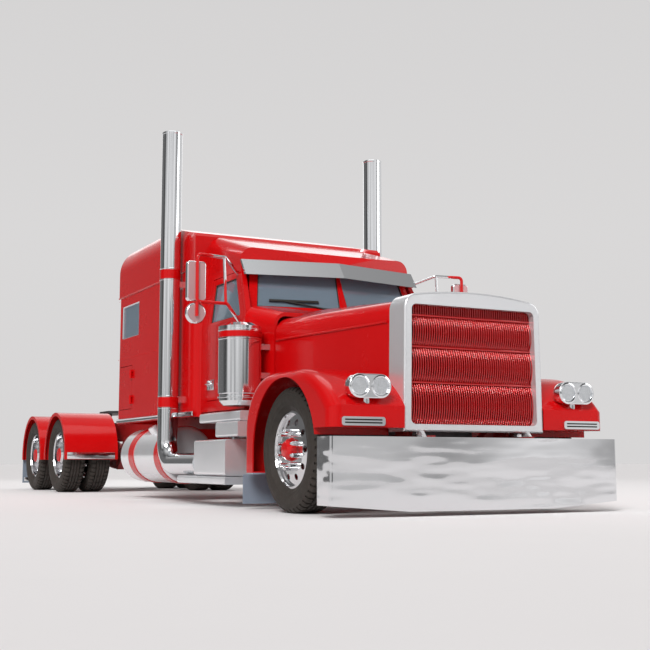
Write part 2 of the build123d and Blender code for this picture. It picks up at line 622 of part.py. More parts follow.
ROOF_FRONT_Z = 2350
ROOF_REAR_Z = 2600


ROOF_TIP = -1475            # middle of the roof's front edge
ROOF_CORNER = CAB_FRONT - PILLAR_RUN


def roof_form():
    """The roof's outer form: a wedge with a pointed front like the windscreen's."""
    plan = outline([(ROOF_TIP, 0), (ROOF_CORNER, CAB_ROOF_HALF_WIDTH), (CAB_REAR, CAB_ROOF_HALF_WIDTH),
                    (CAB_REAR, -CAB_ROOF_HALF_WIDTH), (ROOF_CORNER, -CAB_ROOF_HALF_WIDTH)])
    side = outline([(ROOF_TIP + 10, CAB_EAVES), (ROOF_TIP - 90, ROOF_FRONT_Z), (CAB_REAR, ROOF_REAR_Z),
                    (CAB_REAR, CAB_EAVES)])
    wedge = up(plan, CAB_EAVES, ROOF_REAR_Z) & across(side, -CAB_ROOF_HALF_WIDTH, CAB_ROOF_HALF_WIDTH)
    ridge = [edge for edge in wedge.edges()
             if abs(abs(edge.center().Y) - CAB_ROOF_HALF_WIDTH) < 1 and edge.center().Z > ROOF_FRONT_Z
             and edge.length > 300 and edge.center().X > AX + CAB_REAR + 10]
    return fillet(ridge, 120)


def cab_roof():
    """The cab's roof: a hollow wedge that rises from the windscreen to the sleeper."""
    wall = 60
    hollow = across(outline([(ROOF_CORNER - wall, CAB_EAVES - 10),
                             (ROOF_CORNER - wall, ROOF_FRONT_Z - wall),
                             (CAB_REAR - 10, ROOF_REAR_Z - wall), (CAB_REAR - 10, CAB_EAVES - 10)]),
                    -CAB_ROOF_HALF_WIDTH + 85, CAB_ROOF_HALF_WIDTH - 85)
    keep("cab_roof", roof_form() - hollow)


VISOR_Z = (2085, 2240)
VISOR_TIP = -1285           # lower edge in the middle, and at the ends
VISOR_END = -1480
VISOR_HALF_WIDTH = 915
VISOR_LEAN = 110
VISOR_WALL = 30


def visor():
    """A chrome sun visor in two wings that meet ahead of the windscreen, on three short arms."""
    low, high = VISOR_Z
    wings = []
    for side in (-1, 1):
        tip, wing = (VISOR_TIP, 0), (VISOR_END, side * VISOR_HALF_WIDTH)
        ring = [tip, wing, (wing[0] - VISOR_WALL, wing[1]), (tip[0] - VISOR_WALL, 0)]
        lower = Plane((AX, 0, low)) * outline(ring)
        upper = Plane((AX, 0, high)) * outline([(x - VISOR_LEAN, y) for x, y in ring])
        wings.append(loft([lower, upper]))
    arms = []
    for y in (-700, 0, 700):
        x = VISOR_TIP - VISOR_LEAN - (VISOR_TIP - VISOR_END) * abs(y) / VISOR_HALF_WIDTH
        arms.append(block((x - 110, x), (y - 12, y + 12), (CAB_EAVES + 3, high - 12)) - roof_form())
    keep("visor", fused([*wings, *arms]))


def door_glass():
    """The doors' panes, set in the middle of the leaf."""
    outer = CAB_WALL / 2 - GLASS / 2
    skin = along(cab_section(outer), CAB_REAR, CAB_FRONT) - along(cab_section(outer + GLASS), CAB_REAR - 10,
                                                                  CAB_FRONT + 10)
    pane = (skin & across(offset(outline(WINDOW_SIDE), -FIT, kind=Kind.TANGENT), 0,
                          CAB_HALF_WIDTH)).solids()[0]
    keep("door_glass_right", mirrored(pane))
    keep("door_glass_left", pane)


MIRROR_X = -1455
MIRROR_Y = 1405
MIRROR_HEAD = (44, 180, 360)    # depth, width, height
MIRROR_HEAD_Z = 1975
SPOT_MIRROR_Z = 1690
SPOT_MIRROR_RADIUS = 95
BRACKET_TUBE = 15
BRACKET_Z = (1790, 2215)    # lower and upper bars of the mirror brackets


def mirrors():
    """Door mirrors: a tube loop from the door with a tall head and a round one below it."""
    front = MIRROR_X + MIRROR_HEAD[0] / 2
    tube_x = front + BRACKET_TUBE - 2
    inner_y = CAB_HALF_WIDTH + 150
    low, high = BRACKET_Z
    loop = bent_tube([(DOOR_FRONT - 310, CAB_ROOF_HALF_WIDTH - 20, DOOR_HEAD - 35),
                      (tube_x - 50, inner_y, high),
                      (tube_x, MIRROR_Y, high), (tube_x, MIRROR_Y, low), (tube_x, inner_y, low),
                      (tube_x - 60, CAB_HALF_WIDTH - 40, low - 210)], 34, BRACKET_TUBE)
    brace = rod((tube_x - 50, inner_y + 12, high), (tube_x, inner_y + 12, low), BRACKET_TUBE - 2)
    stub = rod((tube_x, MIRROR_Y, low), (tube_x, MIRROR_Y, SPOT_MIRROR_Z - 30), BRACKET_TUBE)
    head = Pos(AX + MIRROR_X, MIRROR_Y, MIRROR_HEAD_Z) * Box(*MIRROR_HEAD)
    head = fillet(head.edges().filter_by(Axis.X), 34)
    head = fillet(head.edges().group_by(Axis.X)[-1], 14)
    spot = rod((front - 36, MIRROR_Y, SPOT_MIRROR_Z), (front, MIRROR_Y, SPOT_MIRROR_Z), SPOT_MIRROR_RADIUS)
    spot = fillet(spot.edges().group_by(Axis.X)[-1], 18)
    left = fused([loop, brace, stub, head, spot]) - cab_skin()
    left = left.solids().sort_by(SortBy.VOLUME)[-1]
    for name, side in SIDES.items():
        keep(f"mirror_{name}", left if side > 0 else mirrored(left))


# Sleeper side openings, (x from the front axle, z)
SLEEPER_WINDOW = [(-4760, 1790), (-4140, 1790), (-4140, 2165), (-4760, 2165)]
LUGGAGE_DOOR = [(-4800, 975), (-4345, 975), (-4345, 1470), (-4800, 1470)]


def sleeper_shell(wall, low, high):
    """The sleeper's upright form with round front corners, or its inside when a wall is given."""
    half = SLEEPER_HALF_WIDTH - wall
    plan = outline([(SLEEPER_REAR + wall, -half), (CAB_REAR - wall, -half), (CAB_REAR - wall, half),
                    (SLEEPER_REAR + wall, half)])
    front = plan.vertices().group_by(Axis.X)[-1]
    plan = fillet(front, 150 - wall)
    plan = fillet(plan.vertices().group_by(Axis.X)[0], 70 - wall)
    return up(plan, low, high)


def sleeper():
    """The sleeper's walls, floor and the way through to the cab, its luggage doors and its bunk."""
    body = sleeper_shell(0, SLEEPER_LOW, SLEEPER_SEAM) - sleeper_shell(CAB_WALL, FLOOR_Z + FLOOR_WALL,
                                                                       SLEEPER_SEAM + 10)
    body -= sleeper_shell(CAB_WALL, SLEEPER_LOW - 10, FLOOR_Z)
    body -= block((SLEEPER_REAR - 10, CAB_REAR + 10), (-RAIL_Y - 20, RAIL_Y + 20), (0, FRAME_TOP + 5))
    body -= block((CAB_REAR - 200, CAB_REAR + 10), (-720, 720), (FLOOR_Z + FLOOR_WALL, 2150))
    span = SLEEPER_HALF_WIDTH + 10
    body -= across(outline(SLEEPER_WINDOW), -span, span)
    body -= across(outline(LUGGAGE_DOOR), -span, span)
    leaf = across(offset(outline(LUGGAGE_DOOR), -DOOR_GAP, kind=Kind.TANGENT),
                  SLEEPER_HALF_WIDTH - CAB_WALL, SLEEPER_HALF_WIDTH)
    leaf, body = hinged(leaf, body, LUGGAGE_DOOR[1][0], SLEEPER_HALF_WIDTH, LUGGAGE_HINGES, 60)
    keep("sleeper_body", body)
    keep("luggage_door_right", mirrored(leaf))
    keep("luggage_door_left", leaf)
    inside = SLEEPER_HALF_WIDTH - CAB_WALL - 10
    floor = FLOOR_Z + FLOOR_WALL
    bunk = block((SLEEPER_REAR + CAB_WALL + 10, SLEEPER_REAR + CAB_WALL + 820), (-inside, inside),
                 (floor, floor + 480))
    keep("sleeper_bunk", fillet(bunk.edges().filter_by(Axis.Y).group_by(Axis.Z)[-1], 60))


def sleeper_roof():
    """The sleeper's roof: high at the back with round shoulders, and a slope down to the cab's roof."""
    half = SLEEPER_HALF_WIDTH
    side = outline([(SLEEPER_REAR, SLEEPER_SEAM), (SLEEPER_REAR, SLEEPER_TOP - 30),
                    (SLEEPER_REAR + 60, SLEEPER_TOP),
                    (-3500, SLEEPER_TOP - 20), (CAB_REAR - 60, ROOF_REAR_Z + 40), (CAB_REAR, ROOF_REAR_Z),
                    (CAB_REAR, SLEEPER_SEAM)])

    def arch(wall):
        w, shoulder, top = half - wall, 330 - wall, SLEEPER_TOP + 40 - wall
        bend = shoulder * (1 - cos(radians(45)))
        edge = SLEEPER_TOP - wall
        return make_face(Polyline((w, SLEEPER_SEAM), (w, edge - shoulder))
                         + ThreePointArc((w, edge - shoulder), (w - bend, edge - bend),
                                         (w - shoulder, edge))
                         + ThreePointArc((w - shoulder, edge), (0, top), (-w + shoulder, edge))
                         + ThreePointArc((-w + shoulder, edge), (-w + bend, edge - bend),
                                         (-w, edge - shoulder))
                         + Polyline((-w, edge - shoulder), (-w, SLEEPER_SEAM), (w, SLEEPER_SEAM)))

    outer = across(side, -half, half) & along(arch(0), SLEEPER_REAR, CAB_REAR)
    inner_side = offset(side, -CAB_WALL, kind=Kind.TANGENT)
    inner = across(inner_side, -half, half) & along(arch(CAB_WALL), SLEEPER_REAR, CAB_REAR)
    edge = CAB_WALL + 40
    hatch = block((SLEEPER_REAR + edge, CAB_REAR - edge), (-half + edge, half - edge),
                  (SLEEPER_SEAM - 10, SLEEPER_SEAM + 80))
    keep("sleeper_roof", outer - inner - hatch)


def cabin():
    """Two seats, and the dashboard with its column and steering wheel."""
    floor = FLOOR_Z + FLOOR_WALL
    seats = []
    for y in (-470, 470):
        base = block((-2190, -1840), (y - 170, y + 170), (floor, floor + 260))
        cushion = block((-2260, -1760), (y - 240, y + 240), (floor + 260, floor + 400))
        back = across(outline([(-2260, floor + 260), (-2130, floor + 260), (-2230, floor + 1000),
                               (-2340, floor + 1000)]),
                      y - 230, y + 230)
        seats.append(fused([base, fillet(cushion.edges().filter_by(Axis.X), 40), back]))
    keep("seats", *seats)
    rear = CAB_FRONT - CAB_WALL
    dash = across(fillet(outline([(rear, 1330), (rear - 150, 1400), (rear - 190, 1610), (rear - 80, 1690),
                                  (rear, 1690)])
                         .vertices().group_by(Axis.X)[0], 30), -880, 880)
    column_end = Vector(rear - 330, 470, 1590)
    column = rod((rear - 140, 470, 1470), tuple(column_end), 28)
    axis = (column_end - Vector(rear - 140, 470, 1470)).normalized()
    plane = Plane((AX + column_end.X, column_end.Y, column_end.Z), z_dir=axis)
    rim = plane * Torus(215, 15)
    boss = plane * Cylinder(60, 40)
    spokes = [plane * Rot(0, 0, turn) * Pos(125, 0, 0) * Box(190, 34, 14) for turn in (0, 120, 240)]
    keep("dashboard", fused([dash, column, rim, boss, *spokes]))


def wipers():
    """Two wiper arms that lie along the foot of the windscreen."""
    blades = []
    for side in (-1, 1):
        lift = screen_plane(side).offset(FIT)
        arm = extrude(lift * outline([(side * 70, 26), (side * 110, 26), (side * 560, 105),
                                      (side * 560, 120)]), 14)
        blade = extrude(lift * outline([(side * 250, 108), (side * 720, 108), (side * 720, 128),
                                        (side * 250, 128)]), 12)
        blades.append(fused([arm, blade]))
    keep("wipers", *blades)


STEP_BOX_X = (-1830, -1095)
STEP_BOX_Y = (640, STACK_Y + 86)
STEP_BOX_Z = (270, 580)
# Steps on each side: x range, outer y, z range
STEPS = [
    ((-1880, -940), 1190, (735, 820)),
    ((-1400, -905), 1225, (600, 730)),
    ((-2250, -1090), 1262, (195, 262)),
]


def step_boxes():
    """A chrome box below each door with two steps above it and a toe strip below, on arms from the rail."""
    box = block(STEP_BOX_X, STEP_BOX_Y, STEP_BOX_Z)
    box = fillet(box.edges().filter_by(Axis.X), 26)
    shapes = [box]
    for x, outer, z in STEPS:
        inner = STEP_BOX_Y[0] + 200
        board = block(x, (inner, outer), z)
        shapes.append(fillet(board.edges().filter_by(Axis.X).group_by(Axis.Y)[-1], 18))
    for x in (-1780, -1150):
        shapes.append(block((x - 25, x + 25), (STEP_BOX_Y[0] + 210, STEP_BOX_Y[0] + 260), (250, 740)))
        shapes.append(block((x - 40, x + 40), (RAIL_Y, STEP_BOX_Y[0] + 230),
                            (FRAME_LOW + 20, FRAME_LOW + 90)))
    left = fused(shapes)
    keep("step_boxes", mirrored(left), left)


STACK_BEND = 225
STACK_FOOT = 372


def stacks():
    """Exhaust stacks: straight pipes with an open top and an elbow forward into the step box."""
    pipe = bent_tube([(STACK_X, STACK_Y, STACK_TOP), (STACK_X, STACK_Y, STACK_FOOT),
                      (STEP_BOX_X[0] - FIT, STACK_Y, STACK_FOOT)],
                     STACK_BEND, STACK_RADIUS)
    pipe -= rod((STACK_X, STACK_Y, STACK_TOP - 500), (STACK_X, STACK_Y, STACK_TOP + 10), STACK_RADIUS - 5)
    pads = [block((STACK_X - 60, STACK_X + 60), (SLEEPER_HALF_WIDTH, STACK_Y),
                  (z - 30, z + 30)) for z in (1000, 2150)]
    left = fused([pipe, *pads])
    keep("exhaust_stacks", mirrored(left), left)


STRAP_WALL = 7
STRAP_X = (-3900, -3070)
STRAP_HALF = 80


def tanks():
    """Round fuel tanks with dished ends, and the straps and brackets that hold them to the rails."""
    rear, front = TANK_X
    tank = rod((rear, TANK_Y, TANK_Z), (front, TANK_Y, TANK_Z), TANK_RADIUS)
    tank = fillet(tank.edges().filter_by(GeomType.CIRCLE), 40)
    cap = rod((front - 560, TANK_Y + 130, TANK_Z + 200), (front - 560, TANK_Y + 186, TANK_Z + 290), 48)
    tank = fused([tank, cap])
    straps = []
    for x in STRAP_X:
        band = rod((x - STRAP_HALF, TANK_Y, TANK_Z), (x + STRAP_HALF, TANK_Y, TANK_Z),
                   TANK_RADIUS + STRAP_WALL)
        arm = block((x - STRAP_HALF, x + STRAP_HALF), (RAIL_Y, TANK_Y - 150),
                    (FRAME_LOW - 40, FRAME_LOW + 60))
        strap = fused([band, arm]) - rod((x - STRAP_HALF - 5, TANK_Y, TANK_Z),
                                         (x + STRAP_HALF + 5, TANK_Y, TANK_Z), TANK_RADIUS)
        straps.append(strap.solids().sort_by(SortBy.VOLUME)[-1])
    keep("fuel_tanks", mirrored(tank), tank)
    keep("tank_straps", *[mirrored(strap) for strap in straps], *straps)


def air_cleaners():
    """Round chrome air cleaners with a cap and a bowl, on brackets from the cowl."""
    low, high = CLEANER_Z
    r = CLEANER_RADIUS
    # radius, height of the canister's outline from the bottom up
    steps = [(0, low), (r - 46, low), (r - 10, low + 40), (r - 10, low + 96), (r, low + 104),
             (r, high - 150),
             (r - 6, high - 142), (r - 6, high - 122), (r, high - 114), (r, high - 30), (r - 60, high),
             (0, high)]
    section = Plane((AX + CLEANER_X, CLEANER_Y, 0), x_dir=(1, 0, 0), z_dir=(0, -1, 0)) * outline(steps)
    can = revolve(section, Axis((AX + CLEANER_X, CLEANER_Y, 0), (0, 0, 1)), 360)
    arms = [block((CLEANER_X - 45, CLEANER_X + 45), (CAB_HALF_WIDTH - 160, CLEANER_Y - 60),
                  (z - 25, z + 25)) - cowl_form(0)
            for z in (1130, 1380)]
    arms = [arm.solids().sort_by(Axis.Y)[-1] for arm in arms]
    left = fused([can, *arms])
    keep("air_cleaners", mirrored(left), left)


REAR_FENDER_RADIUS = 552
REAR_FENDER_Y = (560, 1250)


def rear_fenders():
    """Four round fenders over the twin wheels, each on an arm and post from the rail."""
    inner, outer = REAR_FENDER_Y
    fenders = []
    for axle_x in REAR_AXLES:
        ring = rod((axle_x, inner, HUB_Z), (axle_x, outer, HUB_Z), REAR_FENDER_RADIUS)
        ring -= rod((axle_x, inner - 5, HUB_Z), (axle_x, outer + 5, HUB_Z), REAR_FENDER_RADIUS - 12)
        lip = rod((axle_x, outer - 12, HUB_Z), (axle_x, outer, HUB_Z), REAR_FENDER_RADIUS)
        lip -= rod((axle_x, outer - 20, HUB_Z), (axle_x, outer + 5, HUB_Z), REAR_FENDER_RADIUS - 45)
        ring = fused([ring, lip])
        ring -= block((axle_x - 700, axle_x + 700), (inner - 5, outer + 5), (-200, HUB_Z - 60))
        crown = HUB_Z + REAR_FENDER_RADIUS
        post = block((axle_x - 35, axle_x + 35), (inner, inner + 36), (FRAME_TOP - 120, crown - 6))
        arm = block((axle_x - 35, axle_x + 35), (RAIL_Y, inner + 36), (FRAME_TOP - 120, FRAME_TOP - 60))
        left = fused([ring, post, arm])
        fenders += [mirrored(left), left]
    keep("rear_fenders", *fenders)


FLAP_X = -800
FLAP_WALL = 12


def mudflaps():
    """Flaps behind the front wheels, hung from the step boxes, and behind the rear ones."""
    flaps = []
    front = block((FLAP_X - FLAP_WALL, FLAP_X), (880, 1215), (45, 285))
    hanger = block((STEP_BOX_X[1], FLAP_X - FLAP_WALL + 2), (960, 1000), (275, 285 + 15))
    front = fused([front, hanger])
    rear_x = REAR_END + 10
    rear = block((rear_x, rear_x + FLAP_WALL), (620, 1230), (90, 700))
    rear = fused([rear, block((rear_x, rear_x + 40), (RAIL_Y, 1230), (700, 740))])
    for flap in (front, rear):
        flaps += [mirrored(flap), flap]
    keep("mudflaps", *flaps)
    lamps = []
    for y in (250, 150):
        lamp = rod((REAR_END + 30, y, FRAME_TOP - 110), (REAR_END + 4, y, FRAME_TOP - 110), 44)
        lamps += [mirrored(lamp), lamp]
    keep("tail_lamps", *lamps)


FIFTH_PIN_Z = 985
FIFTH_HALF_WIDTH = 450
KINGPIN_SLOT = 27           # half width of the coupling's throat


def fifth_wheel():
    """The coupling: brackets with pins on the frame, and a plate that rocks on them."""
    rail_x = (FIFTH_WHEEL_X - 420, FIFTH_WHEEL_X + 420)
    foot = block(rail_x, (RAIL_Y - 60, RAIL_Y + 30), (FRAME_TOP, FRAME_TOP + 16))
    ear = across(outline([(FIFTH_WHEEL_X - 130, FRAME_TOP + 10), (FIFTH_WHEEL_X + 130, FRAME_TOP + 10),
                          (FIFTH_WHEEL_X + 40, FIFTH_PIN_Z + 26), (FIFTH_WHEEL_X - 40, FIFTH_PIN_Z + 26)]),
                 385, 415)
    pin = rod((FIFTH_WHEEL_X, 340, FIFTH_PIN_Z), (FIFTH_WHEEL_X, 415, FIFTH_PIN_Z), 22)
    left = fused([foot, ear, pin])
    keep("fifth_wheel_base", mirrored(left), left)
    plan = outline([(FIFTH_WHEEL_X + 400, 230), (FIFTH_WHEEL_X + 250, FIFTH_HALF_WIDTH),
                    (FIFTH_WHEEL_X - 150, FIFTH_HALF_WIDTH),
                    (FIFTH_WHEEL_X - 480, 250), (FIFTH_WHEEL_X - 480, 160),
                    (FIFTH_WHEEL_X - 60, KINGPIN_SLOT),
                    (FIFTH_WHEEL_X, KINGPIN_SLOT), (FIFTH_WHEEL_X, 0), (FIFTH_WHEEL_X + 400, 0)])
    half = up(plan, FIFTH_WHEEL_TOP - 36, FIFTH_WHEEL_TOP)
    lug = across(outline([(FIFTH_WHEEL_X - 70, FIFTH_WHEEL_TOP - 30),
                          (FIFTH_WHEEL_X - 40, FIFTH_PIN_Z - 34),
                          (FIFTH_WHEEL_X + 40, FIFTH_PIN_Z - 34),
                          (FIFTH_WHEEL_X + 70, FIFTH_WHEEL_TOP - 30)]), 336, 380)
    lug -= rod((FIFTH_WHEEL_X, 320, FIFTH_PIN_Z), (FIFTH_WHEEL_X, 400, FIFTH_PIN_Z), 22 + FIT)
    throat = Pos(AX + FIFTH_WHEEL_X, 0, FIFTH_WHEEL_TOP) * Cylinder(KINGPIN_SLOT, 200)
    plate = fused([half, mirrored(half), lug, mirrored(lug)]) - throat
    keep("fifth_wheel_plate", plate)


LUG_RADIUS = 20
TIE_Z = HUB_Z - 130
TIE_EYE_TOP = TIE_Z - 5     # the closed ball joint housings stop just under the steering arms' eyes
SPINDLE_FRONT = 34


def knuckles():
    """Steering knuckles: two lugs on the kingpin, a spindle outboard and an arm back to the tie rod."""
    arm_y = KINGPIN_Y
    for name, side in SIDES.items():
        lugs = [Pos(AX, KINGPIN_Y, HUB_Z + side_z * 86) * Cylinder(50, 60) for side_z in (-1, 1)]
        plate = block((-50, 50), (KINGPIN_Y + 58, KINGPIN_Y + 88), (HUB_Z - 116, HUB_Z + 116))
        bridges = [block((-48, 48), (KINGPIN_Y, KINGPIN_Y + 70),
                         (HUB_Z + s * 86 - 30, HUB_Z + s * 86 + 30)) for s in (-1, 1)]
        spindle = rod((0, KINGPIN_Y + 70, HUB_Z), (0, FRONT_TRACK_Y + 95, HUB_Z), SPINDLE_FRONT)
        arm = rod((0, KINGPIN_Y, HUB_Z - 100), (-STEER_ARM, arm_y, TIE_Z + 18), 20)
        eye = rod((-STEER_ARM, arm_y, TIE_EYE_TOP), (-STEER_ARM, arm_y, TIE_Z + 36), 24)
        left = fused([*lugs, *bridges, plate, spindle, arm, eye])
        left -= Pos(AX, KINGPIN_Y, HUB_Z) * Cylinder(22 + FIT, 400)
        keep(f"knuckle_{name}", left if side > 0 else mirrored(left))
    bar = rod((-STEER_ARM, -arm_y, TIE_Z - 26), (-STEER_ARM, arm_y, TIE_Z - 26), 17)
    eyes = [rod((-STEER_ARM, y, TIE_Z - 45), (-STEER_ARM, y, TIE_EYE_TOP - FIT), 25) for y in (-arm_y, arm_y)]
    keep("tie_rod", fused([bar, *eyes]))


def tyre_section():
    """Half of a tyre cut through, as (radius, distance from its middle)."""
    half = TYRE_WIDTH / 2
    return [(RIM_RADIUS - 14, -half + 38), (RIM_RADIUS + 30, -half + 12), (RIM_RADIUS + 85, -half),
            (TYRE_RADIUS - 50, -half + 8), (TYRE_RADIUS - 14, -half + 22), (TYRE_RADIUS, -half + 44)]


def tyre(y):
    """A tyre with plain round shoulders, seated on its rim."""
    half = tyre_section()
    return wheel_spin(outline(half + [(r, -d) for r, d in reversed(half)]), y)


LUG_CIRCLE = 142
HOLE_CIRCLE = 216
HOLE_RADIUS = 24
DISC_WALL = 22


def disc_wheel(y, face, hub_bore):
    """A polished disc wheel; face is how far its mounting face lies outboard of the tyre's middle."""
    half = TYRE_WIDTH / 2 - 40
    seat = RIM_RADIUS - 14 - FIT
    barrel = outline([(seat, -half), (seat, half), (seat - 16, half + 6), (seat - 24, half - 10),
                      (seat - 26, -half)])
    join = half - 40 if face > 0 else -half + 40
    dish = outline([(hub_bore, face), (hub_bore, face - DISC_WALL), (180, face - DISC_WALL),
                    (seat - 20, join - 14),
                    (seat - 20, join + 14), (190, face)])
    wheel = fused([wheel_spin(barrel, y), wheel_spin(dish, y)])
    holes = []
    for i in range(HAND_HOLES):
        turn = radians(360 / HAND_HOLES * (i + 0.5))
        x, z = HOLE_CIRCLE * sin(turn), HUB_Z + HOLE_CIRCLE * cos(turn)
        holes.append(rod((x, y + face - 90, z), (x, y + face + 90, z), HOLE_RADIUS))
    return wheel.cut(*holes)


def lug_covers(y, face, length):
    """A ring of pointed lug nut covers on a wheel's mounting face."""
    covers = []
    for i in range(LUG_COUNT):
        turn = radians(360 / LUG_COUNT * i)
        foot = Plane((AX + LUG_CIRCLE * sin(turn), y + face - 4, HUB_Z + LUG_CIRCLE * cos(turn)),
                     z_dir=(0, 1, 0))
        neck = foot.offset(length * 0.75)
        covers.append(loft([foot * Circle(LUG_RADIUS), neck * Circle(LUG_RADIUS * 0.85)]))
        covers.append(loft([neck * Circle(LUG_RADIUS * 0.85),
                            foot.offset(length) * Circle(LUG_RADIUS * 0.4)]))
    return covers


FRONT_FACE = 92             # front discs stand proud, rear discs meet between the twin tyres
REAR_FACE = -DUAL_SPACING / 2 + DISC_WALL


def wheels():
    """Front wheels, and rear pairs that turn on one hub each."""
    bore = SPINDLE_FRONT + FIT
    cup = outline([(bore, -20), (90, -20), (90, FRONT_FACE + 8), (78, FRONT_FACE + 40),
                   (54, FRONT_FACE + 66), (0, FRONT_FACE + 72),
                   (0, FRONT_FACE + 40), (bore, FRONT_FACE + 40)])
    front_disc = fused([disc_wheel(FRONT_TRACK_Y, FRONT_FACE, 80), wheel_spin(cup, FRONT_TRACK_Y),
                        *lug_covers(FRONT_TRACK_Y, FRONT_FACE, 84)])
    bore = SPINDLE_RADIUS + FIT
    inner_y = DUAL_OUTER_Y - DUAL_SPACING
    hub = outline([(bore, REAR_FACE - 90), (112, REAR_FACE - 90), (112, 70), (80, 112), (0, 112), (0, 102),
                   (bore, 102)])
    rear_disc = fused([disc_wheel(DUAL_OUTER_Y, REAR_FACE, 100),
                       disc_wheel(inner_y, DUAL_SPACING / 2 + 4, 100),
                       wheel_spin(hub, DUAL_OUTER_Y), *lug_covers(DUAL_OUTER_Y, REAR_FACE, 60)])
    # place, x from the front axle, tyres, disc
    sets = [
        ("front_wheel", 0, [tyre(FRONT_TRACK_Y)], front_disc),
        ("rear_wheel_1", REAR_AXLES[0], [tyre(DUAL_OUTER_Y), tyre(inner_y)], rear_disc),
        ("rear_wheel_2", REAR_AXLES[1], [tyre(DUAL_OUTER_Y), tyre(inner_y)], rear_disc),
    ]
    for place, x, tyres, disc in sets:
        for name, side in SIDES.items():
            moved = [Pos(x, 0, 0) * shape for shape in (*tyres, disc)]
            if side < 0:
                moved = [mirrored(shape) for shape in moved]
            keep(f"{place}_{name}_tyre", *moved[:-1])
            keep(f"{place}_{name}_disc", moved[-1])


def build():
    """Makes every node and writes it."""
    for make in (frame, bumper, engine_bay, front_axle, suspension, drive_axles, hood, grille_parts,
                 fenders, lamps, cab,
                 cab_roof, visor, door_glass, mirrors, sleeper, sleeper_roof, cabin, wipers, step_boxes,
                 stacks, tanks,
                 air_cleaners, rear_fenders, mudflaps, fifth_wheel, knuckles, wheels):
        make()
    os.makedirs("parts", exist_ok=True)
    for name, shape in nodes.items():
        export_step(shape, f"parts/{name}.step")


if __name__ == "__main__":
    build()
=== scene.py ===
"""Dresses the tractor unit's solids: paint, chrome, rubber, glass, treaded tyres, seats, trim and studio."""
import math

import bmesh
import bpy
from mathutils import Matrix, Vector


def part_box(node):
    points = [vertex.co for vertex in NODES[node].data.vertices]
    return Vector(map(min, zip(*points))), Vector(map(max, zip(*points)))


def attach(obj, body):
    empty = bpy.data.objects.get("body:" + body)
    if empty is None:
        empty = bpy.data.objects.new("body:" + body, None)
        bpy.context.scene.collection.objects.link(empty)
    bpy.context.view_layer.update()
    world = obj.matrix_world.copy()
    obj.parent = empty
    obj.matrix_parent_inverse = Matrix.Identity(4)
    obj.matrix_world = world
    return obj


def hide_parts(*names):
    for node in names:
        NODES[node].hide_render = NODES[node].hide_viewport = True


bl_info = {
    "name": "Tractor unit dressing",
    "version": (1, 0, 0),
    "blender": (4, 5, 0),
    "location": "View3D > Sidebar > Tractor",
    "description": "Materials, tyres, seats, trim and studio for a long-nose tractor unit",
    "category": "Object",
}

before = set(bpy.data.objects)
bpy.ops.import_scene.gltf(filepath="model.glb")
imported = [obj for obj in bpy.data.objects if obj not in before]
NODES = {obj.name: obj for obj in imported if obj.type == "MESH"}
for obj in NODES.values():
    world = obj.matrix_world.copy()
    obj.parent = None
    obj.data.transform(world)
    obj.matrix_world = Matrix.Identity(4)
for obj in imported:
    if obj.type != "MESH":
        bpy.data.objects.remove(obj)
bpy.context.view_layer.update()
SIDES = (("right", -1), ("left", 1))
REAR_AXLES = (1, 2)


def middle(node):
    """The middle of a solid's box."""
    low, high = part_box(node)
    return (low + high) / 2


FRONT_AXLE_X = middle("front_wheel_right_disc").x
REAR_AXLE_X = {axle: middle(f"rear_wheel_{axle}_right_disc").x for axle in REAR_AXLES}
HUB_Z = middle("front_wheel_right_disc").z


def from_axle(x):
    """A length of the truck measured from the front axle, in the frame's own x."""
    return FRONT_AXLE_X + x


def colour_property(label, help_text, value):
    """A colour that a user can change."""
    return bpy.props.FloatVectorProperty(name=label, description=help_text, default=(*value, 1.0), size=4,
                                         min=0.0, max=1.0, subtype="COLOR")


def length_property(label, help_text, value):
    """A size in metres that a user can change."""
    return bpy.props.FloatProperty(name=label, description=help_text, default=value, min=0.0005, max=3.0,
                                   subtype="DISTANCE", unit="LENGTH", precision=4)


class TractorFinishes(bpy.types.PropertyGroup):
    """Colours of the paint, metal, rubber, glass and cloth."""

    paint: colour_property("Paint", "Body paint under the clear coat", (0.56, 0.002, 0.003))
    chassis: colour_property("Chassis paint", "Satin paint of the rails and running gear",
                             (0.27, 0.003, 0.004))
    chrome: colour_property("Chrome", "Tint of the plated metal", (0.83, 0.84, 0.86))
    alloy: colour_property("Alloy", "Tint of the polished wheels", (0.80, 0.81, 0.83))
    iron: colour_property("Iron", "Cast engine and gearbox", (0.17, 0.18, 0.19))
    rubber: colour_property("Tyre rubber", "Tread and sidewalls", (0.018, 0.014, 0.010))
    flap: colour_property("Flap rubber", "Mudflaps", (0.035, 0.045, 0.0575))
    glass: colour_property("Glass", "Tint of the windows", (0.34, 0.44, 0.53))
    cloth: colour_property("Cloth", "Seats and bunk", (0.105, 0.100, 0.105))
    plastic: colour_property("Dash plastic", "Dashboard and steering wheel", (0.045, 0.042, 0.042))
    tail: colour_property("Tail red", "Tail lamp lenses", (0.60, 0.006, 0.008))
    floor: colour_property("Floor", "Studio floor and backdrop", (0.80, 0.78, 0.78))


class TractorTrim(bpy.types.PropertyGroup):
    """Sizes of the trim that is added to the solids."""

    tread_depth: length_property("Tread depth", "Depth of the tyres' grooves", 0.013)
    groove: length_property("Groove", "Width of the grooves round a tyre", 0.012)
    bolt: length_property("Bolt", "Radius of a trim bolt's head", 0.013)
    bead: length_property("Bead", "Radius of the raised line along the hood", 0.011)
    gasket: length_property("Gasket", "Radius of the rubber round the windows", 0.011)
    band: length_property("Band", "How far painted bands stand off the chrome", 0.003)
    rivet: length_property("Rivet", "Radius of a body rivet", 0.006)


def finishes():
    """The colours in use."""
    return bpy.context.scene.tractor_finishes


def trim():
    """The trim sizes in use."""
    return bpy.context.scene.tractor_trim


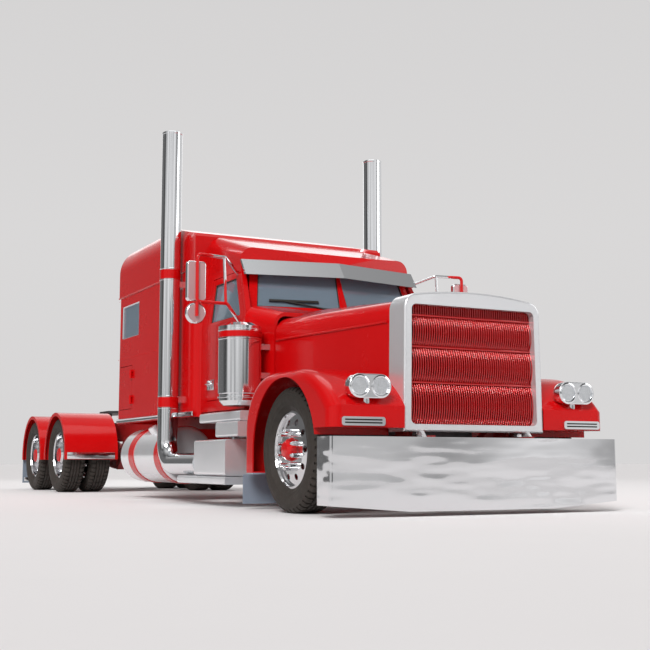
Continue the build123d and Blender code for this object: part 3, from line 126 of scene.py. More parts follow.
def clear_selection():
    """Leaves edit mode and deselects everything."""
    if bpy.context.object and bpy.context.object.mode != "OBJECT":
        bpy.ops.object.mode_set(mode="OBJECT")
    bpy.ops.object.select_all(action="DESELECT")


def activate(obj):
    """Makes obj the only selected and the active object."""
    clear_selection()
    obj.select_set(True)
    bpy.context.view_layer.objects.active = obj
    return obj


def settle(obj, name=None):
    """Puts an object's place into its mesh."""
    activate(obj)
    bpy.ops.object.transform_apply(location=True, rotation=True, scale=True)
    if name:
        obj.name = name
    return obj


def bar(name, low, high):
    """A box between two corners."""
    low = Vector(low)
    high = Vector(high)
    clear_selection()
    bpy.ops.mesh.primitive_cube_add(size=1.0, location=(low + high) / 2, scale=high - low)
    return settle(bpy.context.object, name)


TURN_TO = {"X": (0.0, math.pi / 2, 0.0), "Y": (math.pi / 2, 0.0, 0.0), "Z": (0.0, 0.0, 0.0)}


def pick(obj, test, kind="FACE"):
    """Opens obj in edit mode with the faces or edges selected that pass a test of middle and direction."""
    activate(obj)
    bpy.ops.object.mode_set(mode="EDIT")
    bpy.ops.mesh.select_mode(type=kind)
    bpy.ops.mesh.select_all(action="DESELECT")
    mesh = bmesh.from_edit_mesh(obj.data)
    mesh.normal_update()
    if kind == "FACE":
        for face in mesh.faces:
            face.select_set(bool(test(face.calc_center_median(), face.normal)))
    else:
        for edge in mesh.edges:
            ends = [vert.co for vert in edge.verts]
            edge.select_set(bool(test((ends[0] + ends[1]) / 2, ends[1] - ends[0])))
    mesh.select_flush_mode()
    bmesh.update_edit_mesh(obj.data)
    return obj


def done(obj):
    """Back to object mode."""
    activate(obj)
    return obj


def apply_modifier(obj, kind, **values):
    """Adds a modifier and applies it."""
    activate(obj)
    modifier = obj.modifiers.new(kind.title(), kind)
    for key, value in values.items():
        setattr(modifier, key, value)
    bpy.ops.object.modifier_apply(modifier=modifier.name)
    return obj


def round_edges(obj, width, segments=2):
    """Rounds every sharp edge."""
    return apply_modifier(obj, "BEVEL", width=width, segments=segments, limit_method="ANGLE",
                          angle_limit=math.radians(35.0))


def turned(name, profile, centre, axis="Y", steps=48):
    """A form turned on a lathe: profile holds (radius, distance along the axis)."""
    mesh = bpy.data.meshes.new(name)
    points = [(radius, 0.0, along) for radius, along in profile]
    mesh.from_pydata(points, [(i, i + 1) for i in range(len(points) - 1)], [])
    obj = bpy.data.objects.new(name, mesh)
    bpy.context.scene.collection.objects.link(obj)
    activate(obj)
    bpy.ops.object.mode_set(mode="EDIT")
    bpy.ops.mesh.select_all(action="SELECT")
    bpy.ops.mesh.spin(steps=steps, angle=math.tau, center=(0, 0, 0), axis=(0, 0, 1))
    bpy.ops.mesh.select_all(action="SELECT")
    bpy.ops.mesh.remove_doubles(threshold=0.0002)
    bpy.ops.mesh.normals_make_consistent(inside=False)
    done(obj)
    obj.rotation_euler = TURN_TO[axis]
    obj.location = centre
    return settle(obj)


def wire(name, points, radius, closed=False, sides=3, smooth=False):
    """A round bead along points."""
    curve = bpy.data.curves.new(name, "CURVE")
    curve.dimensions = "3D"
    curve.bevel_depth = radius
    curve.bevel_resolution = sides
    curve.use_fill_caps = True
    spline = curve.splines.new("NURBS" if smooth else "POLY")
    spline.points.add(len(points) - 1)
    for point, place in zip(spline.points, points):
        point.co = (*place, 1.0)
    spline.use_cyclic_u = closed
    if smooth:
        spline.order_u = 3
        spline.use_endpoint_u = True
    obj = bpy.data.objects.new(name, curve)
    bpy.context.scene.collection.objects.link(obj)
    activate(obj)
    bpy.ops.object.convert(target="MESH")
    return settle(bpy.context.object, name)


def copied(obj, spots):
    """Copies of obj, one for each matrix, joined in one mesh; obj itself goes."""
    twins = []
    for spot in spots:
        twin = obj.copy()
        twin.data = obj.data.copy()
        twin.data.transform(spot)
        if spot.determinant() < 0:
            twin.data.flip_normals()
        bpy.context.scene.collection.objects.link(twin)
        twins.append(twin)
    name = obj.name
    bpy.data.objects.remove(obj)
    return joined(name, twins)


def joined(name, objects):
    """Several meshes as one object."""
    clear_selection()
    for obj in objects:
        obj.select_set(True)
    bpy.context.view_layer.objects.active = objects[0]
    if len(objects) > 1:
        bpy.ops.object.join()
    return settle(bpy.context.object, name)


def shift(x, y, z):
    """A move as a matrix."""
    return Matrix.Translation((x, y, z))


MIRROR = Matrix.Diagonal((1.0, -1.0, 1.0, 1.0))


def both_sides(obj):
    """The piece and its twin on the other side of the truck, as one mesh."""
    return copied(obj, [Matrix.Identity(4), MIRROR])


def fit(obj, body, finish, angle=32.0):
    """Shades a finished piece, gives it its finish and makes it ride on a body."""
    activate(obj)
    bpy.ops.object.shade_smooth_by_angle(angle=math.radians(angle))
    obj.data.materials.clear()
    obj.data.materials.append(bpy.data.materials[finish])
    clear_selection()
    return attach(obj, body)


def add_node(tree, kind, **inputs):
    """A shader node with some of its inputs set or linked."""
    made = tree.nodes.new(kind)
    for key, value in inputs.items():
        socket = made.inputs[key.replace("_", " ")]
        if isinstance(value, bpy.types.NodeSocket):
            tree.links.new(value, socket)
        else:
            socket.default_value = value
    return made


def new_group(name, inputs, outputs):
    """An empty shader group with named sockets."""
    tree = bpy.data.node_groups.new(name, "ShaderNodeTree")
    for label, kind, value in inputs:
        socket = tree.interface.new_socket(label, in_out="INPUT", socket_type=f"NodeSocket{kind}")
        if value is not None:
            socket.default_value = value
    for label, kind in outputs:
        tree.interface.new_socket(label, in_out="OUTPUT", socket_type=f"NodeSocket{kind}")
    return tree, tree.nodes.new("NodeGroupInput"), tree.nodes.new("NodeGroupOutput")


def uneven_gloss_group():
    """Wiped and smudged patches that make a finish more or less rough."""
    tree, given, out = new_group(
        "uneven gloss",
        [("Vector", "Vector", None), ("Scale", "Float", 3.0), ("Smooth", "Float", 0.05),
         ("Rough", "Float", 0.2)],
        [("Roughness", "Float")])
    cloud = add_node(tree, "ShaderNodeTexNoise", Vector=given.outputs["Vector"], Scale=given.outputs["Scale"],
                     Detail=5.0, Roughness=0.6)
    spread = add_node(tree, "ShaderNodeMapRange", Value=cloud.outputs["Fac"], From_Min=0.32, From_Max=0.72,
                      To_Min=given.outputs["Smooth"], To_Max=given.outputs["Rough"])
    tree.links.new(spread.outputs["Result"], out.inputs["Roughness"])


def fine_grain_group():
    """Small pits and grains, as a height."""
    tree, given, out = new_group(
        "fine grain", [("Vector", "Vector", None), ("Scale", "Float", 200.0),
                       ("Stretch", "Vector", (1, 1, 1))],
        [("Height", "Float")])
    stretched = add_node(tree, "ShaderNodeVectorMath")
    stretched.operation = "MULTIPLY"
    tree.links.new(given.outputs["Vector"], stretched.inputs[0])
    tree.links.new(given.outputs["Stretch"], stretched.inputs[1])
    grain = add_node(tree, "ShaderNodeTexNoise", Vector=stretched.outputs["Vector"],
                     Scale=given.outputs["Scale"],
                     Detail=3.0, Roughness=0.55)
    tree.links.new(grain.outputs["Fac"], out.inputs["Height"])


def road_dust_group():
    """A colour that varies a little and gathers dust towards the ground."""
    tree, given, out = new_group(
        "road dust",
        [("Vector", "Vector", None), ("Colour", "Color", (1, 1, 1, 1)), ("Deep", "Color", (0, 0, 0, 1)),
         ("Dust", "Color", (0.35, 0.27, 0.24, 1)), ("Height", "Float", 0.8), ("Amount", "Float", 0.15)],
        [("Colour", "Color"), ("Mask", "Float")])
    cloud = add_node(tree, "ShaderNodeTexNoise", Vector=given.outputs["Vector"], Scale=1.7, Detail=4.0)
    vary = add_node(tree, "ShaderNodeMix")
    vary.data_type = "RGBA"
    tree.links.new(cloud.outputs["Fac"], vary.inputs["Factor"])
    tree.links.new(given.outputs["Colour"], vary.inputs[6])
    tree.links.new(given.outputs["Deep"], vary.inputs[7])
    parts = add_node(tree, "ShaderNodeSeparateXYZ", Vector=given.outputs["Vector"])
    low = add_node(tree, "ShaderNodeMapRange", Value=parts.outputs["Z"], From_Min=given.outputs["Height"],
                   From_Max=0.0, To_Min=0.0, To_Max=given.outputs["Amount"])
    specks = add_node(tree, "ShaderNodeTexNoise", Vector=given.outputs["Vector"], Scale=9.0, Detail=8.0,
                      Roughness=0.7)
    patches = add_node(tree, "ShaderNodeMath")
    patches.operation = "MULTIPLY"
    tree.links.new(low.outputs["Result"], patches.inputs[0])
    tree.links.new(specks.outputs["Fac"], patches.inputs[1])
    dusty = add_node(tree, "ShaderNodeMix")
    dusty.data_type = "RGBA"
    tree.links.new(patches.outputs["Value"], dusty.inputs["Factor"])
    tree.links.new(vary.outputs[2], dusty.inputs[6])
    tree.links.new(given.outputs["Dust"], dusty.inputs[7])
    tree.links.new(dusty.outputs[2], out.inputs["Colour"])
    tree.links.new(patches.outputs["Value"], out.inputs["Mask"])


def use_group(tree, name, **inputs):
    """Places one of the shared groups."""
    made = tree.nodes.new("ShaderNodeGroup")
    made.node_tree = bpy.data.node_groups[name]
    for key, value in inputs.items():
        if isinstance(value, bpy.types.NodeSocket):
            tree.links.new(value, made.inputs[key])
        else:
            made.inputs[key].default_value = value
    return made


def shaded(colour, share):
    """A colour times a share, with its alpha kept."""
    return (colour[0] * share, colour[1] * share, colour[2] * share, 1.0)


def new_finish(name, colour, gloss, deep=0.9, gloss_scale=3.0, dust=0.15, dust_height=0.8, grain=None,
               **plain):
    """A material with uneven colour and gloss, dust low down and, where grain is given, a bump.

    The grain is (scale, depth, stretch).
    """
    material = bpy.data.materials.new(name)
    material.use_nodes = True
    tree = material.node_tree
    surface = tree.nodes["Principled BSDF"]
    for key, value in plain.items():
        surface.inputs[key.replace("_", " ")].default_value = value
    place = tree.nodes.new("ShaderNodeTexCoord").outputs["Object"]
    tint = use_group(tree, "road dust", Vector=place, Colour=tuple(colour), Deep=shaded(colour, deep),
                     Height=dust_height, Amount=dust)
    tree.links.new(tint.outputs["Colour"], surface.inputs["Base Color"])
    shine = use_group(tree, "uneven gloss", Vector=place, Scale=gloss_scale, Smooth=gloss[0], Rough=gloss[1])
    tree.links.new(shine.outputs["Roughness"], surface.inputs["Roughness"])
    if grain:
        scale, depth, stretch = grain
        pits = use_group(tree, "fine grain", Vector=place, Scale=scale, Stretch=stretch)
        bump = add_node(tree, "ShaderNodeBump", Strength=0.6, Distance=depth, Height=pits.outputs["Height"])
        tree.links.new(bump.outputs["Normal"], surface.inputs["Normal"])
    material.diffuse_color = tuple(colour)
    return material


def split_by(material, mask_of, second, metal=None):
    """Where the mask is 1 the colour turns to a second one, and the metal share to metal."""
    tree = material.node_tree
    surface = tree.nodes["Principled BSDF"]
    place = next(n for n in tree.nodes if n.bl_idname == "ShaderNodeTexCoord").outputs["Object"]
    mask = mask_of(tree, place)
    first = surface.inputs["Base Color"].links[0].from_socket
    choose = tree.nodes.new("ShaderNodeMix")
    choose.data_type = "RGBA"
    tree.links.new(mask, choose.inputs["Factor"])
    tree.links.new(first, choose.inputs[6])
    choose.inputs[7].default_value = tuple(second)
    tree.links.new(choose.outputs[2], surface.inputs["Base Color"])
    if metal is not None:
        share = add_node(tree, "ShaderNodeMapRange", Value=mask,
                         To_Min=surface.inputs["Metallic"].default_value,
                         To_Max=metal)
        tree.links.new(share.outputs["Result"], surface.inputs["Metallic"])
    return material


def near_line(axle_x, radius):
    """A mask of what lies within a radius of an axle's line."""
    def mask(tree, place):
        off = add_node(tree, "ShaderNodeVectorMath")
        off.operation = "SUBTRACT"
        tree.links.new(place, off.inputs[0])
        off.inputs[1].default_value = (axle_x, 0.0, HUB_Z)
        flat = add_node(tree, "ShaderNodeVectorMath")
        flat.operation = "MULTIPLY"
        tree.links.new(off.outputs["Vector"], flat.inputs[0])
        flat.inputs[1].default_value = (1.0, 0.0, 1.0)
        far = add_node(tree, "ShaderNodeVectorMath")
        far.operation = "LENGTH"
        tree.links.new(flat.outputs["Vector"], far.inputs[0])
        inside = add_node(tree, "ShaderNodeMapRange", Value=far.outputs["Value"], From_Min=radius + 0.001,
                          From_Max=radius - 0.001)
        return inside.outputs["Result"]
    return mask


def ahead_of(x):
    """A mask of what lies ahead of an x."""
    def mask(tree, place):
        parts = add_node(tree, "ShaderNodeSeparateXYZ", Vector=place)
        ahead = add_node(tree, "ShaderNodeMapRange", Value=parts.outputs["X"], From_Min=x - 0.0005,
                         From_Max=x + 0.0005)
        return ahead.outputs["Result"]
    return mask


def window_glass(name, colour, clear):
    """Tinted glass with faint smears."""
    material = new_finish(name, colour, (0.02, 0.06), deep=0.96, gloss_scale=2.0, dust=0.0,
                          Transmission_Weight=clear, IOR=1.45, Metallic=0.0)
    return material


EVEN = (1.0, 1.0, 1.0)
HUB_RED = 0.092


class TRACTOR_OT_finishes(bpy.types.Operator):
    """Makes every finish and gives the solids theirs"""

    bl_idname = "tractor.finishes"
    bl_label = "Finishes"

    def execute(self, context):
        look = finishes()
        uneven_gloss_group()
        fine_grain_group()
        road_dust_group()
        new_finish("paint", look.paint, (0.20, 0.30), deep=0.88, gloss_scale=2.2, dust=0.08,
                   grain=(260.0, 0.0002, EVEN), Specular_IOR_Level=0.16, Coat_Weight=0.45,
                   Coat_Roughness=0.03, Coat_IOR=1.33)
        new_finish("chassis_paint", look.chassis, (0.34, 0.52), deep=0.8, gloss_scale=6.0, dust=0.2,
                   dust_height=1.0, grain=(140.0, 0.0006, EVEN), Coat_Weight=0.15, Coat_Roughness=0.15,
                   Specular_IOR_Level=0.3)
        new_finish("chrome", look.chrome, (0.035, 0.11), deep=0.94, gloss_scale=3.5, dust=0.12, Metallic=1.0)
        new_finish("bright_metal", look.chrome, (0.14, 0.24), deep=0.95, gloss_scale=4.0, dust=0.05,
                   Metallic=0.62)
        new_finish("bumper_chrome", look.chrome, (0.035, 0.09), deep=0.96, gloss_scale=3.5, dust=0.05,
                   Metallic=1.0, grain=(1.25, 0.026, (1.0, 0.42, 1.7)))
        new_finish("iron", look.iron, (0.42, 0.66), deep=0.75, gloss_scale=9.0, dust=0.3,
                   grain=(180.0, 0.0012, EVEN), Metallic=0.55)
        new_finish("axle_black", shaded(look.iron, 0.22), (0.38, 0.58), deep=0.7, gloss_scale=8.0,
                   dust=0.45, grain=(150.0, 0.0010, EVEN))
        new_finish("rubber", look.rubber, (0.62, 0.86), deep=0.78, gloss_scale=12.0, dust=0.119,
                   dust_height=1.0, grain=(320.0, 0.0008, EVEN))
        new_finish("flap_rubber", look.flap, (0.45, 0.70), deep=0.82, gloss_scale=7.0, dust=0.122,
                   grain=(90.0, 0.0010, (1.0, 1.0, 0.25)))
        # Dark rubber. The strips in the turn signals' slots also take this finish, and there it is painted
        # shade.
        new_finish("gasket", shaded(look.rubber, 0.8), (0.45, 0.62), deep=0.9, gloss_scale=20.0, dust=0.0,
                   grain=(400.0, 0.0004, EVEN))
        new_finish("dash_plastic", look.plastic, (0.42, 0.60), deep=0.85, gloss_scale=5.0, dust=0.0,
                   grain=(420.0, 0.0006, EVEN))
        new_finish("cloth", look.cloth, (0.75, 0.95), deep=0.7, gloss_scale=14.0, dust=0.0,
                   grain=(330.0, 0.0014, (1.0, 0.35, 1.0)), Sheen_Weight=0.35, Sheen_Roughness=0.45)
        new_finish("tail_lens", look.tail, (0.06, 0.16), deep=0.8, gloss_scale=16.0, dust=0.12,
                   Coat_Weight=1.0, Coat_Roughness=0.05, grain=(160.0, 0.0010, EVEN))
        new_finish("headliner", (0.30, 0.27, 0.26, 1.0), (0.70, 0.90), deep=0.85, gloss_scale=10.0,
                   dust=0.0, grain=(260.0, 0.0010, EVEN))
        new_finish("grille_paint", look.paint, (0.16, 0.28), deep=0.8, gloss_scale=5.0, dust=0.0,
                   Metallic=0.45, Coat_Weight=1.0, Coat_Roughness=0.05)
        window_glass("window_glass", look.glass, 0.6)
        new_finish("lamp_glass", (0.86, 0.89, 0.92, 1.0), (0.10, 0.22), deep=0.72, gloss_scale=34.0,
                   dust=0.0, Metallic=0.8, grain=(120.0, 0.0040, (1.0, 1.0, 0.12)), Coat_Weight=1.0,
                   Coat_Roughness=0.02)
        for label, axle_x in (("front", FRONT_AXLE_X), ("rear_1", REAR_AXLE_X[1]),
                              ("rear_2", REAR_AXLE_X[2])):
            wheel = new_finish(f"wheel_{label}", look.alloy, (0.07, 0.18), deep=0.92, gloss_scale=7.0,
                               dust=0.3, dust_height=1.0, Metallic=1.0)
            split_by(wheel, near_line(axle_x, HUB_RED), look.paint, metal=0.0)
        mirror = new_finish("mirror_metal", look.chrome, (0.05, 0.13), deep=0.94, gloss_scale=6.0, dust=0.0,
                            Metallic=1.0)
        split_by(mirror, ahead_of(from_axle(-1.433)), look.paint, metal=0.0)
        for obj in NODES.values():
            if obj.data.materials:
                obj.data.materials[0] = bpy.data.materials[finish_of(obj.name)]
            else:
                obj.data.materials.append(bpy.data.materials[finish_of(obj.name)])
        return {"FINISHED"}


NODE_FINISH = {
    "frame": "chassis_paint", "suspension": "chassis_paint", "bumper": "bumper_chrome", "engine": "iron",
    "radiator": "axle_black", "front_axle": "chassis_paint", "drive_axles": "chassis_paint",
    "cab_glass": "window_glass", "visor": "chrome", "seats": "cloth", "sleeper_bunk": "cloth",
    "dashboard": "dash_plastic", "wipers": "gasket", "step_boxes": "bright_metal",
    "exhaust_stacks": "chrome", "fuel_tanks": "bright_metal", "tank_straps": "paint",
    "air_cleaners": "chrome", "mudflaps": "flap_rubber", "tail_lamps": "tail_lens",
    "fifth_wheel_base": "axle_black", "fifth_wheel_plate": "axle_black", "grille_surround": "bright_metal",
    "grille": "grille_paint", "headlamps": "chrome", "lamp_lenses": "lamp_glass",
    "tie_rod": "chassis_paint", "door_glass": "window_glass", "mirror": "mirror_metal",
    "knuckle": "chassis_paint", "front_wheel": "wheel_front", "rear_wheel_1": "wheel_rear_1",
    "rear_wheel_2": "wheel_rear_2",
}


def finish_of(node):
    """The finish of a solid, by the longest name that its own begins with; the rest is body paint."""
    if node.endswith("_tyre"):
        return "rubber"
    found = [name for name in NODE_FINISH if node.startswith(name)]
    return NODE_FINISH[max(found, key=len)] if found else "paint"


BEAD_RADIUS = 0.298
TYRE_RADIUS = HUB_Z
TYRE_HALF = 0.138
TREAD_HALF = 0.094
TREAD_STEPS = 150
RIB_GROOVES = (-0.057, -0.019, 0.019, 0.057)


def tyre_profile():
    """The tyre cut through, round its outside and back along the rim seat."""
    depth = trim().tread_depth
    half = trim().groove / 2
    wall = [(BEAD_RADIUS, 0.100), (0.318, 0.113), (0.330, 0.122), (0.336, 0.1275), (0.343, 0.1265),
            (0.362, 0.1325),
            (0.366, 0.1350), (0.372, 0.1352), (0.376, 0.1355), (0.397, TYRE_HALF), (0.420, 0.1365),
            (0.432, 0.1300),
            (0.436, 0.1310), (0.452, 0.1240), (0.466, 0.1150), (0.475, 0.1040), (TYRE_RADIUS, TREAD_HALF)]
    crown = []
    for groove in RIB_GROOVES:
        crown += [(TYRE_RADIUS, groove - half), (TYRE_RADIUS - depth, groove - half * 0.6),
                  (TYRE_RADIUS - depth, groove + half * 0.6), (TYRE_RADIUS, groove + half)]
    near = [(radius, -across) for radius, across in wall]
    return near + crown + list(reversed(wall)) + [near[0]]


def treaded_tyre():
    """One tyre at the origin, its shoulder ribs cut into blocks and its middle ribs nicked."""
    tyre = turned("tyre", tyre_profile(), (0, 0, 0), axis="Y", steps=TREAD_STEPS)
    pitch = math.tau / TREAD_STEPS

    def step_of(place):
        return int(math.floor((math.atan2(place.z, place.x) % math.tau) / pitch + 0.01))

    def shoulder(place, facing):
        radius = math.hypot(place.x, place.z)
        return radius > 0.455 and abs(place.y) > 0.068 and step_of(place) % 3 == 0

    def rib(place, facing):
        radius = math.hypot(place.x, place.z)
        return radius > TYRE_RADIUS - 0.002 and abs(place.y) < 0.05 and step_of(place) % 5 == 0

    pick(tyre, shoulder)
    bpy.ops.mesh.extrude_region_shrink_fatten(TRANSFORM_OT_shrink_fatten={"value": -0.011})
    pick(tyre, rib)
    bpy.ops.mesh.extrude_region_shrink_fatten(TRANSFORM_OT_shrink_fatten={"value": -0.005})
    return done(tyre)


class TRACTOR_OT_tyres(bpy.types.Operator):
    """Puts treaded tyres in place of the plain ones"""

    bl_idname = "tractor.tyres"
    bl_label = "Tyres"

    def execute(self, context):
        master = treaded_tyre()
        for node in sorted(NODES):
            if not node.endswith("_tyre"):
                continue
            low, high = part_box(node)
            centre = (low + high) / 2
            rows = {low.y + TYRE_HALF, high.y - TYRE_HALF} if high.y - low.y > 0.4 else {centre.y}
            tyre = master.copy()
            tyre.data = master.data.copy()
            tyre.name = f"{node}_treaded"
            context.scene.collection.objects.link(tyre)
            tyre = copied(tyre, [shift(centre.x, row, centre.z) for row in sorted(rows)])
            tyre.name = f"{node}_treaded"
            fit(tyre, node[:-len("_tyre")], "rubber", angle=28.0)
            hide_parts(node)
        bpy.data.objects.remove(master)
        return {"FINISHED"}


CAMERA_SPOT = (7.735, -4.903, 0.384)
CAMERA_YAW = math.radians(152.49)
CAMERA_PITCH = math.radians(7.01)
CAMERA_LENS = 61.84
LAMPS = (
    ("top_lamp", (-3.5, 0.0, 10.0), 6.0, 160.0),
    ("far_lamp", (4.0, 9.0, 6.0), 5.0, 140.0),
    ("rear_lamp", (-14.0, 4.0, 7.0), 8.0, 150.0),
)
SUN_FROM = (0.58, -0.54, 0.61)
SUN_STRENGTH = 2.6
SUN_SPREAD = math.radians(24.0)
SKY = ((0.0, 0.92), (0.20, 0.94), (0.40, 0.90), (0.56, 0.24), (0.76, 0.45))
SKY_TOP = (1.0, 0.99, 0.99)
SKY_STRENGTH = 0.74
SKY_DIM_SIDE = 0.22
SKY_DIM_TOWARDS = (-0.78, -0.62, 0.05)      # what the flat side panels mirror to the camera


class TRACTOR_OT_stage(bpy.types.Operator):
    """Lays the floor, hangs the lamps and sets the camera"""

    bl_idname = "tractor.stage"
    bl_label = "Studio"

    def execute(self, context):
        look = finishes()
        clear_selection()
        bpy.ops.mesh.primitive_plane_add(size=400.0, location=(0, 0, -0.001))
        floor = settle(context.object, "studio_floor")
        new_finish("floor_paint", look.floor, (0.90, 0.97), deep=0.985, gloss_scale=0.6, dust=0.0,
                   Specular_IOR_Level=0.05)
        floor.data.materials.append(bpy.data.materials["floor_paint"])
        for name, spot, size, power in LAMPS:
            lamp = bpy.data.lights.new(name, "AREA")
            lamp.shape = "DISK"
            lamp.size = size
            lamp.energy = power
            holder = bpy.data.objects.new(name, lamp)
            holder.location = (from_axle(spot[0]), spot[1], spot[2])
            aim = Vector((0.0, 0.0, 1.0)) - Vector(holder.location)
            holder.rotation_euler = aim.to_track_quat("-Z", "Y").to_euler()
            context.scene.collection.objects.link(holder)
        sun = bpy.data.lights.new("key_sun", "SUN")
        sun.energy = SUN_STRENGTH
        sun.angle = SUN_SPREAD
        holder = bpy.data.objects.new("key_sun", sun)
        holder.rotation_euler = Vector(SUN_FROM).to_track_quat("Z", "Y").to_euler()
        context.scene.collection.objects.link(holder)
        self.sky(context.scene)
        lens = bpy.data.cameras.new("camera")
        lens.sensor_width = 36.0
        lens.lens = CAMERA_LENS
        lens.clip_end = 600.0
        camera = bpy.data.objects.new("camera", lens)
        camera.location = (from_axle(CAMERA_SPOT[0]), CAMERA_SPOT[1], CAMERA_SPOT[2])
        ahead = Vector((math.cos(CAMERA_PITCH) * math.cos(CAMERA_YAW),
                        math.cos(CAMERA_PITCH) * math.sin(CAMERA_YAW),
                        math.sin(CAMERA_PITCH)))
        camera.rotation_euler = ahead.to_track_quat("-Z", "Y").to_euler()
        context.scene.collection.objects.link(camera)
        context.scene.camera = camera
        context.scene.view_settings.view_transform = "Standard"
        return {"FINISHED"}

    def sky(self, scene):
        """Soft light from all round, in panels behind the camera, dim where the truck's side looks."""
        world = bpy.data.worlds.new("studio")
        scene.world = world
        world.use_nodes = True
        tree = world.node_tree
        back = tree.nodes["Background"]
        place = tree.nodes.new("ShaderNodeTexCoord").outputs["Generated"]
        parts = add_node(tree, "ShaderNodeSeparateXYZ", Vector=place)
        ramp = tree.nodes.new("ShaderNodeValToRGB")
        tree.links.new(parts.outputs["Z"], ramp.inputs["Fac"])
        stops = ramp.color_ramp.elements
        for spot, grey in SKY:
            stop = stops[0] if spot == SKY[0][0] else stops.new(spot)
            stop.position = spot
            stop.color = (grey, grey * 0.985, grey * 0.985, 1.0)
        stops[-1].color = (*SKY_TOP, 1.0)
        behind = add_node(tree, "ShaderNodeVectorMath")
        behind.operation = "DOT_PRODUCT"
        tree.links.new(place, behind.inputs[0])
        behind.inputs[1].default_value = (math.cos(CAMERA_YAW), math.sin(CAMERA_YAW), 0.0)
        share = add_node(tree, "ShaderNodeMapRange", Value=behind.outputs["Value"], From_Min=0.35,
                         From_Max=-0.15)
        panels = add_node(tree, "ShaderNodeTexNoise", Vector=place, Scale=2.3, Detail=1.5)
        contrast = add_node(tree, "ShaderNodeMapRange", Value=panels.outputs["Fac"], From_Min=0.40,
                            From_Max=0.60,
                            To_Min=0.16, To_Max=1.25)
        flat = add_node(tree, "ShaderNodeMix")
        tree.links.new(share.outputs["Result"], flat.inputs["Factor"])
        flat.inputs[2].default_value = 1.0
        tree.links.new(contrast.outputs["Result"], flat.inputs[3])
        side = add_node(tree, "ShaderNodeVectorMath")
        side.operation = "DOT_PRODUCT"
        tree.links.new(place, side.inputs[0])
        side.inputs[1].default_value = SKY_DIM_TOWARDS
        dim = add_node(tree, "ShaderNodeMapRange", Value=side.outputs["Value"], From_Min=0.72, From_Max=0.90,
                       To_Min=1.0, To_Max=SKY_DIM_SIDE)
        both = add_node(tree, "ShaderNodeMath")
        both.operation = "MULTIPLY"
        tree.links.new(flat.outputs[0], both.inputs[0])
        tree.links.new(dim.outputs["Result"], both.inputs[1])
        shade = add_node(tree, "ShaderNodeVectorMath")
        shade.operation = "SCALE"
        tree.links.new(ramp.outputs["Color"], shade.inputs[0])
        tree.links.new(both.outputs["Value"], shade.inputs["Scale"])
        tree.links.new(shade.outputs["Vector"], back.inputs["Color"])
        back.inputs["Strength"].default_value = SKY_STRENGTH


def rims(node, facing, test=lambda middle: True):
    """The outlines of a solid's faces that look one way, each as points in order."""
    mesh = bmesh.new()
    mesh.from_mesh(NODES[node].data)
    bmesh.ops.remove_doubles(mesh, verts=mesh.verts, dist=0.00002)
    mesh.normal_update()
    facing = Vector(facing).normalized()
    kept = {face for face in mesh.faces if face.normal.dot(facing) > 0.8 and test(face.calc_center_median())}
    border = {edge for edge in mesh.edges if sum(face in kept for face in edge.link_faces) == 1}
    loops = []
    while border:
        edge = border.pop()
        first, last = edge.verts
        loop = [first.co.copy(), last.co.copy()]
        while last != first:
            edge = next((e for e in last.link_edges if e in border), None)
            if edge is None:
                break
            border.remove(edge)
            last = edge.other_vert(last)
            loop.append(last.co.copy())
        loops.append(loop[:-1])
    mesh.free()
    return loops


def bolt_head(name="bolt"):
    """A domed bolt head on its washer, at the origin, standing along Z."""
    size = trim().bolt
    return turned(name, [(0.0, -0.002), (size * 1.35, -0.002), (size * 1.35, 0.002), (size, 0.0025),
                         (size * 0.95, 0.006),
                         (size * 0.62, 0.0095), (0.0, 0.011)], (0, 0, 0), axis="Z", steps=12)


def facing(spot, direction):
    """Places a Z-standing piece at a spot so that it stands along a direction."""
    turn = Vector(direction).to_track_quat("Z", "Y").to_matrix().to_4x4()
    return Matrix.Translation(spot) @ turn


def sleeve(name, centre, radius, low, high, thick):
    """A rolled band round an upright tube."""
    lip = thick * 0.7
    return turned(name, [(radius - 0.002, low), (radius + thick - lip, low), (radius + thick, low + lip),
                         (radius + thick, high - lip), (radius + thick - lip, high), (radius - 0.002, high),
                         (radius - 0.002, low)],
                  (centre[0], centre[1], 0.0), axis="Z", steps=56)


STACK_SPOT = (-2.790, 1.172)
STACK_RADIUS = 0.101
STACK_BANDS = ((0.922, 1.020), (2.201, 2.293))
CLEANER_SPOT = (-1.120, 1.120)
CLEANER_RADIUS = 0.187
CLEANER_BAND = (1.448, 1.499)
CLEANER_RINGS = (1.436, 1.511, 0.935)


class TRACTOR_OT_stacks(bpy.types.Operator):
    """Painted bands and chrome rings of the exhaust stacks and air cleaners"""

    bl_idname = "tractor.stacks"
    bl_label = "Stacks and air cleaners"

    def execute(self, context):
        stack = (from_axle(STACK_SPOT[0]), STACK_SPOT[1])
        painted = [sleeve("band", stack, STACK_RADIUS, low, high, trim().band) for low, high in STACK_BANDS]
        fit(both_sides(joined("stack_bands", painted)), "chassis", "paint")
        rings = []
        for low, high in STACK_BANDS:
            for level in (low - 0.010, high + 0.010):
                rings.append(sleeve("ring", stack, STACK_RADIUS, level - 0.006, level + 0.006, 0.004))
        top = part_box("exhaust_stacks")[1].z
        rings.append(sleeve("ring", stack, STACK_RADIUS, top - 0.022, top - 0.002, 0.004))
        fit(both_sides(joined("stack_rings", rings)), "chassis", "chrome")
        cleaner = (from_axle(CLEANER_SPOT[0]), CLEANER_SPOT[1])
        painted = [sleeve("band", cleaner, CLEANER_RADIUS, *CLEANER_BAND, trim().band)]
        fit(both_sides(joined("cleaner_bands", painted)), "chassis", "paint")
        rings = []
        for level in CLEANER_RINGS:
            rings.append(sleeve("ring", cleaner, CLEANER_RADIUS, level - 0.008, level + 0.008, 0.0045))
        fit(both_sides(joined("cleaner_rings", rings)), "chassis", "chrome")
        return {"FINISHED"}


LAMP_SPOTS = ((0.853, 0.925), (1.025, 0.925))
LAMP_RADIUS = 0.072


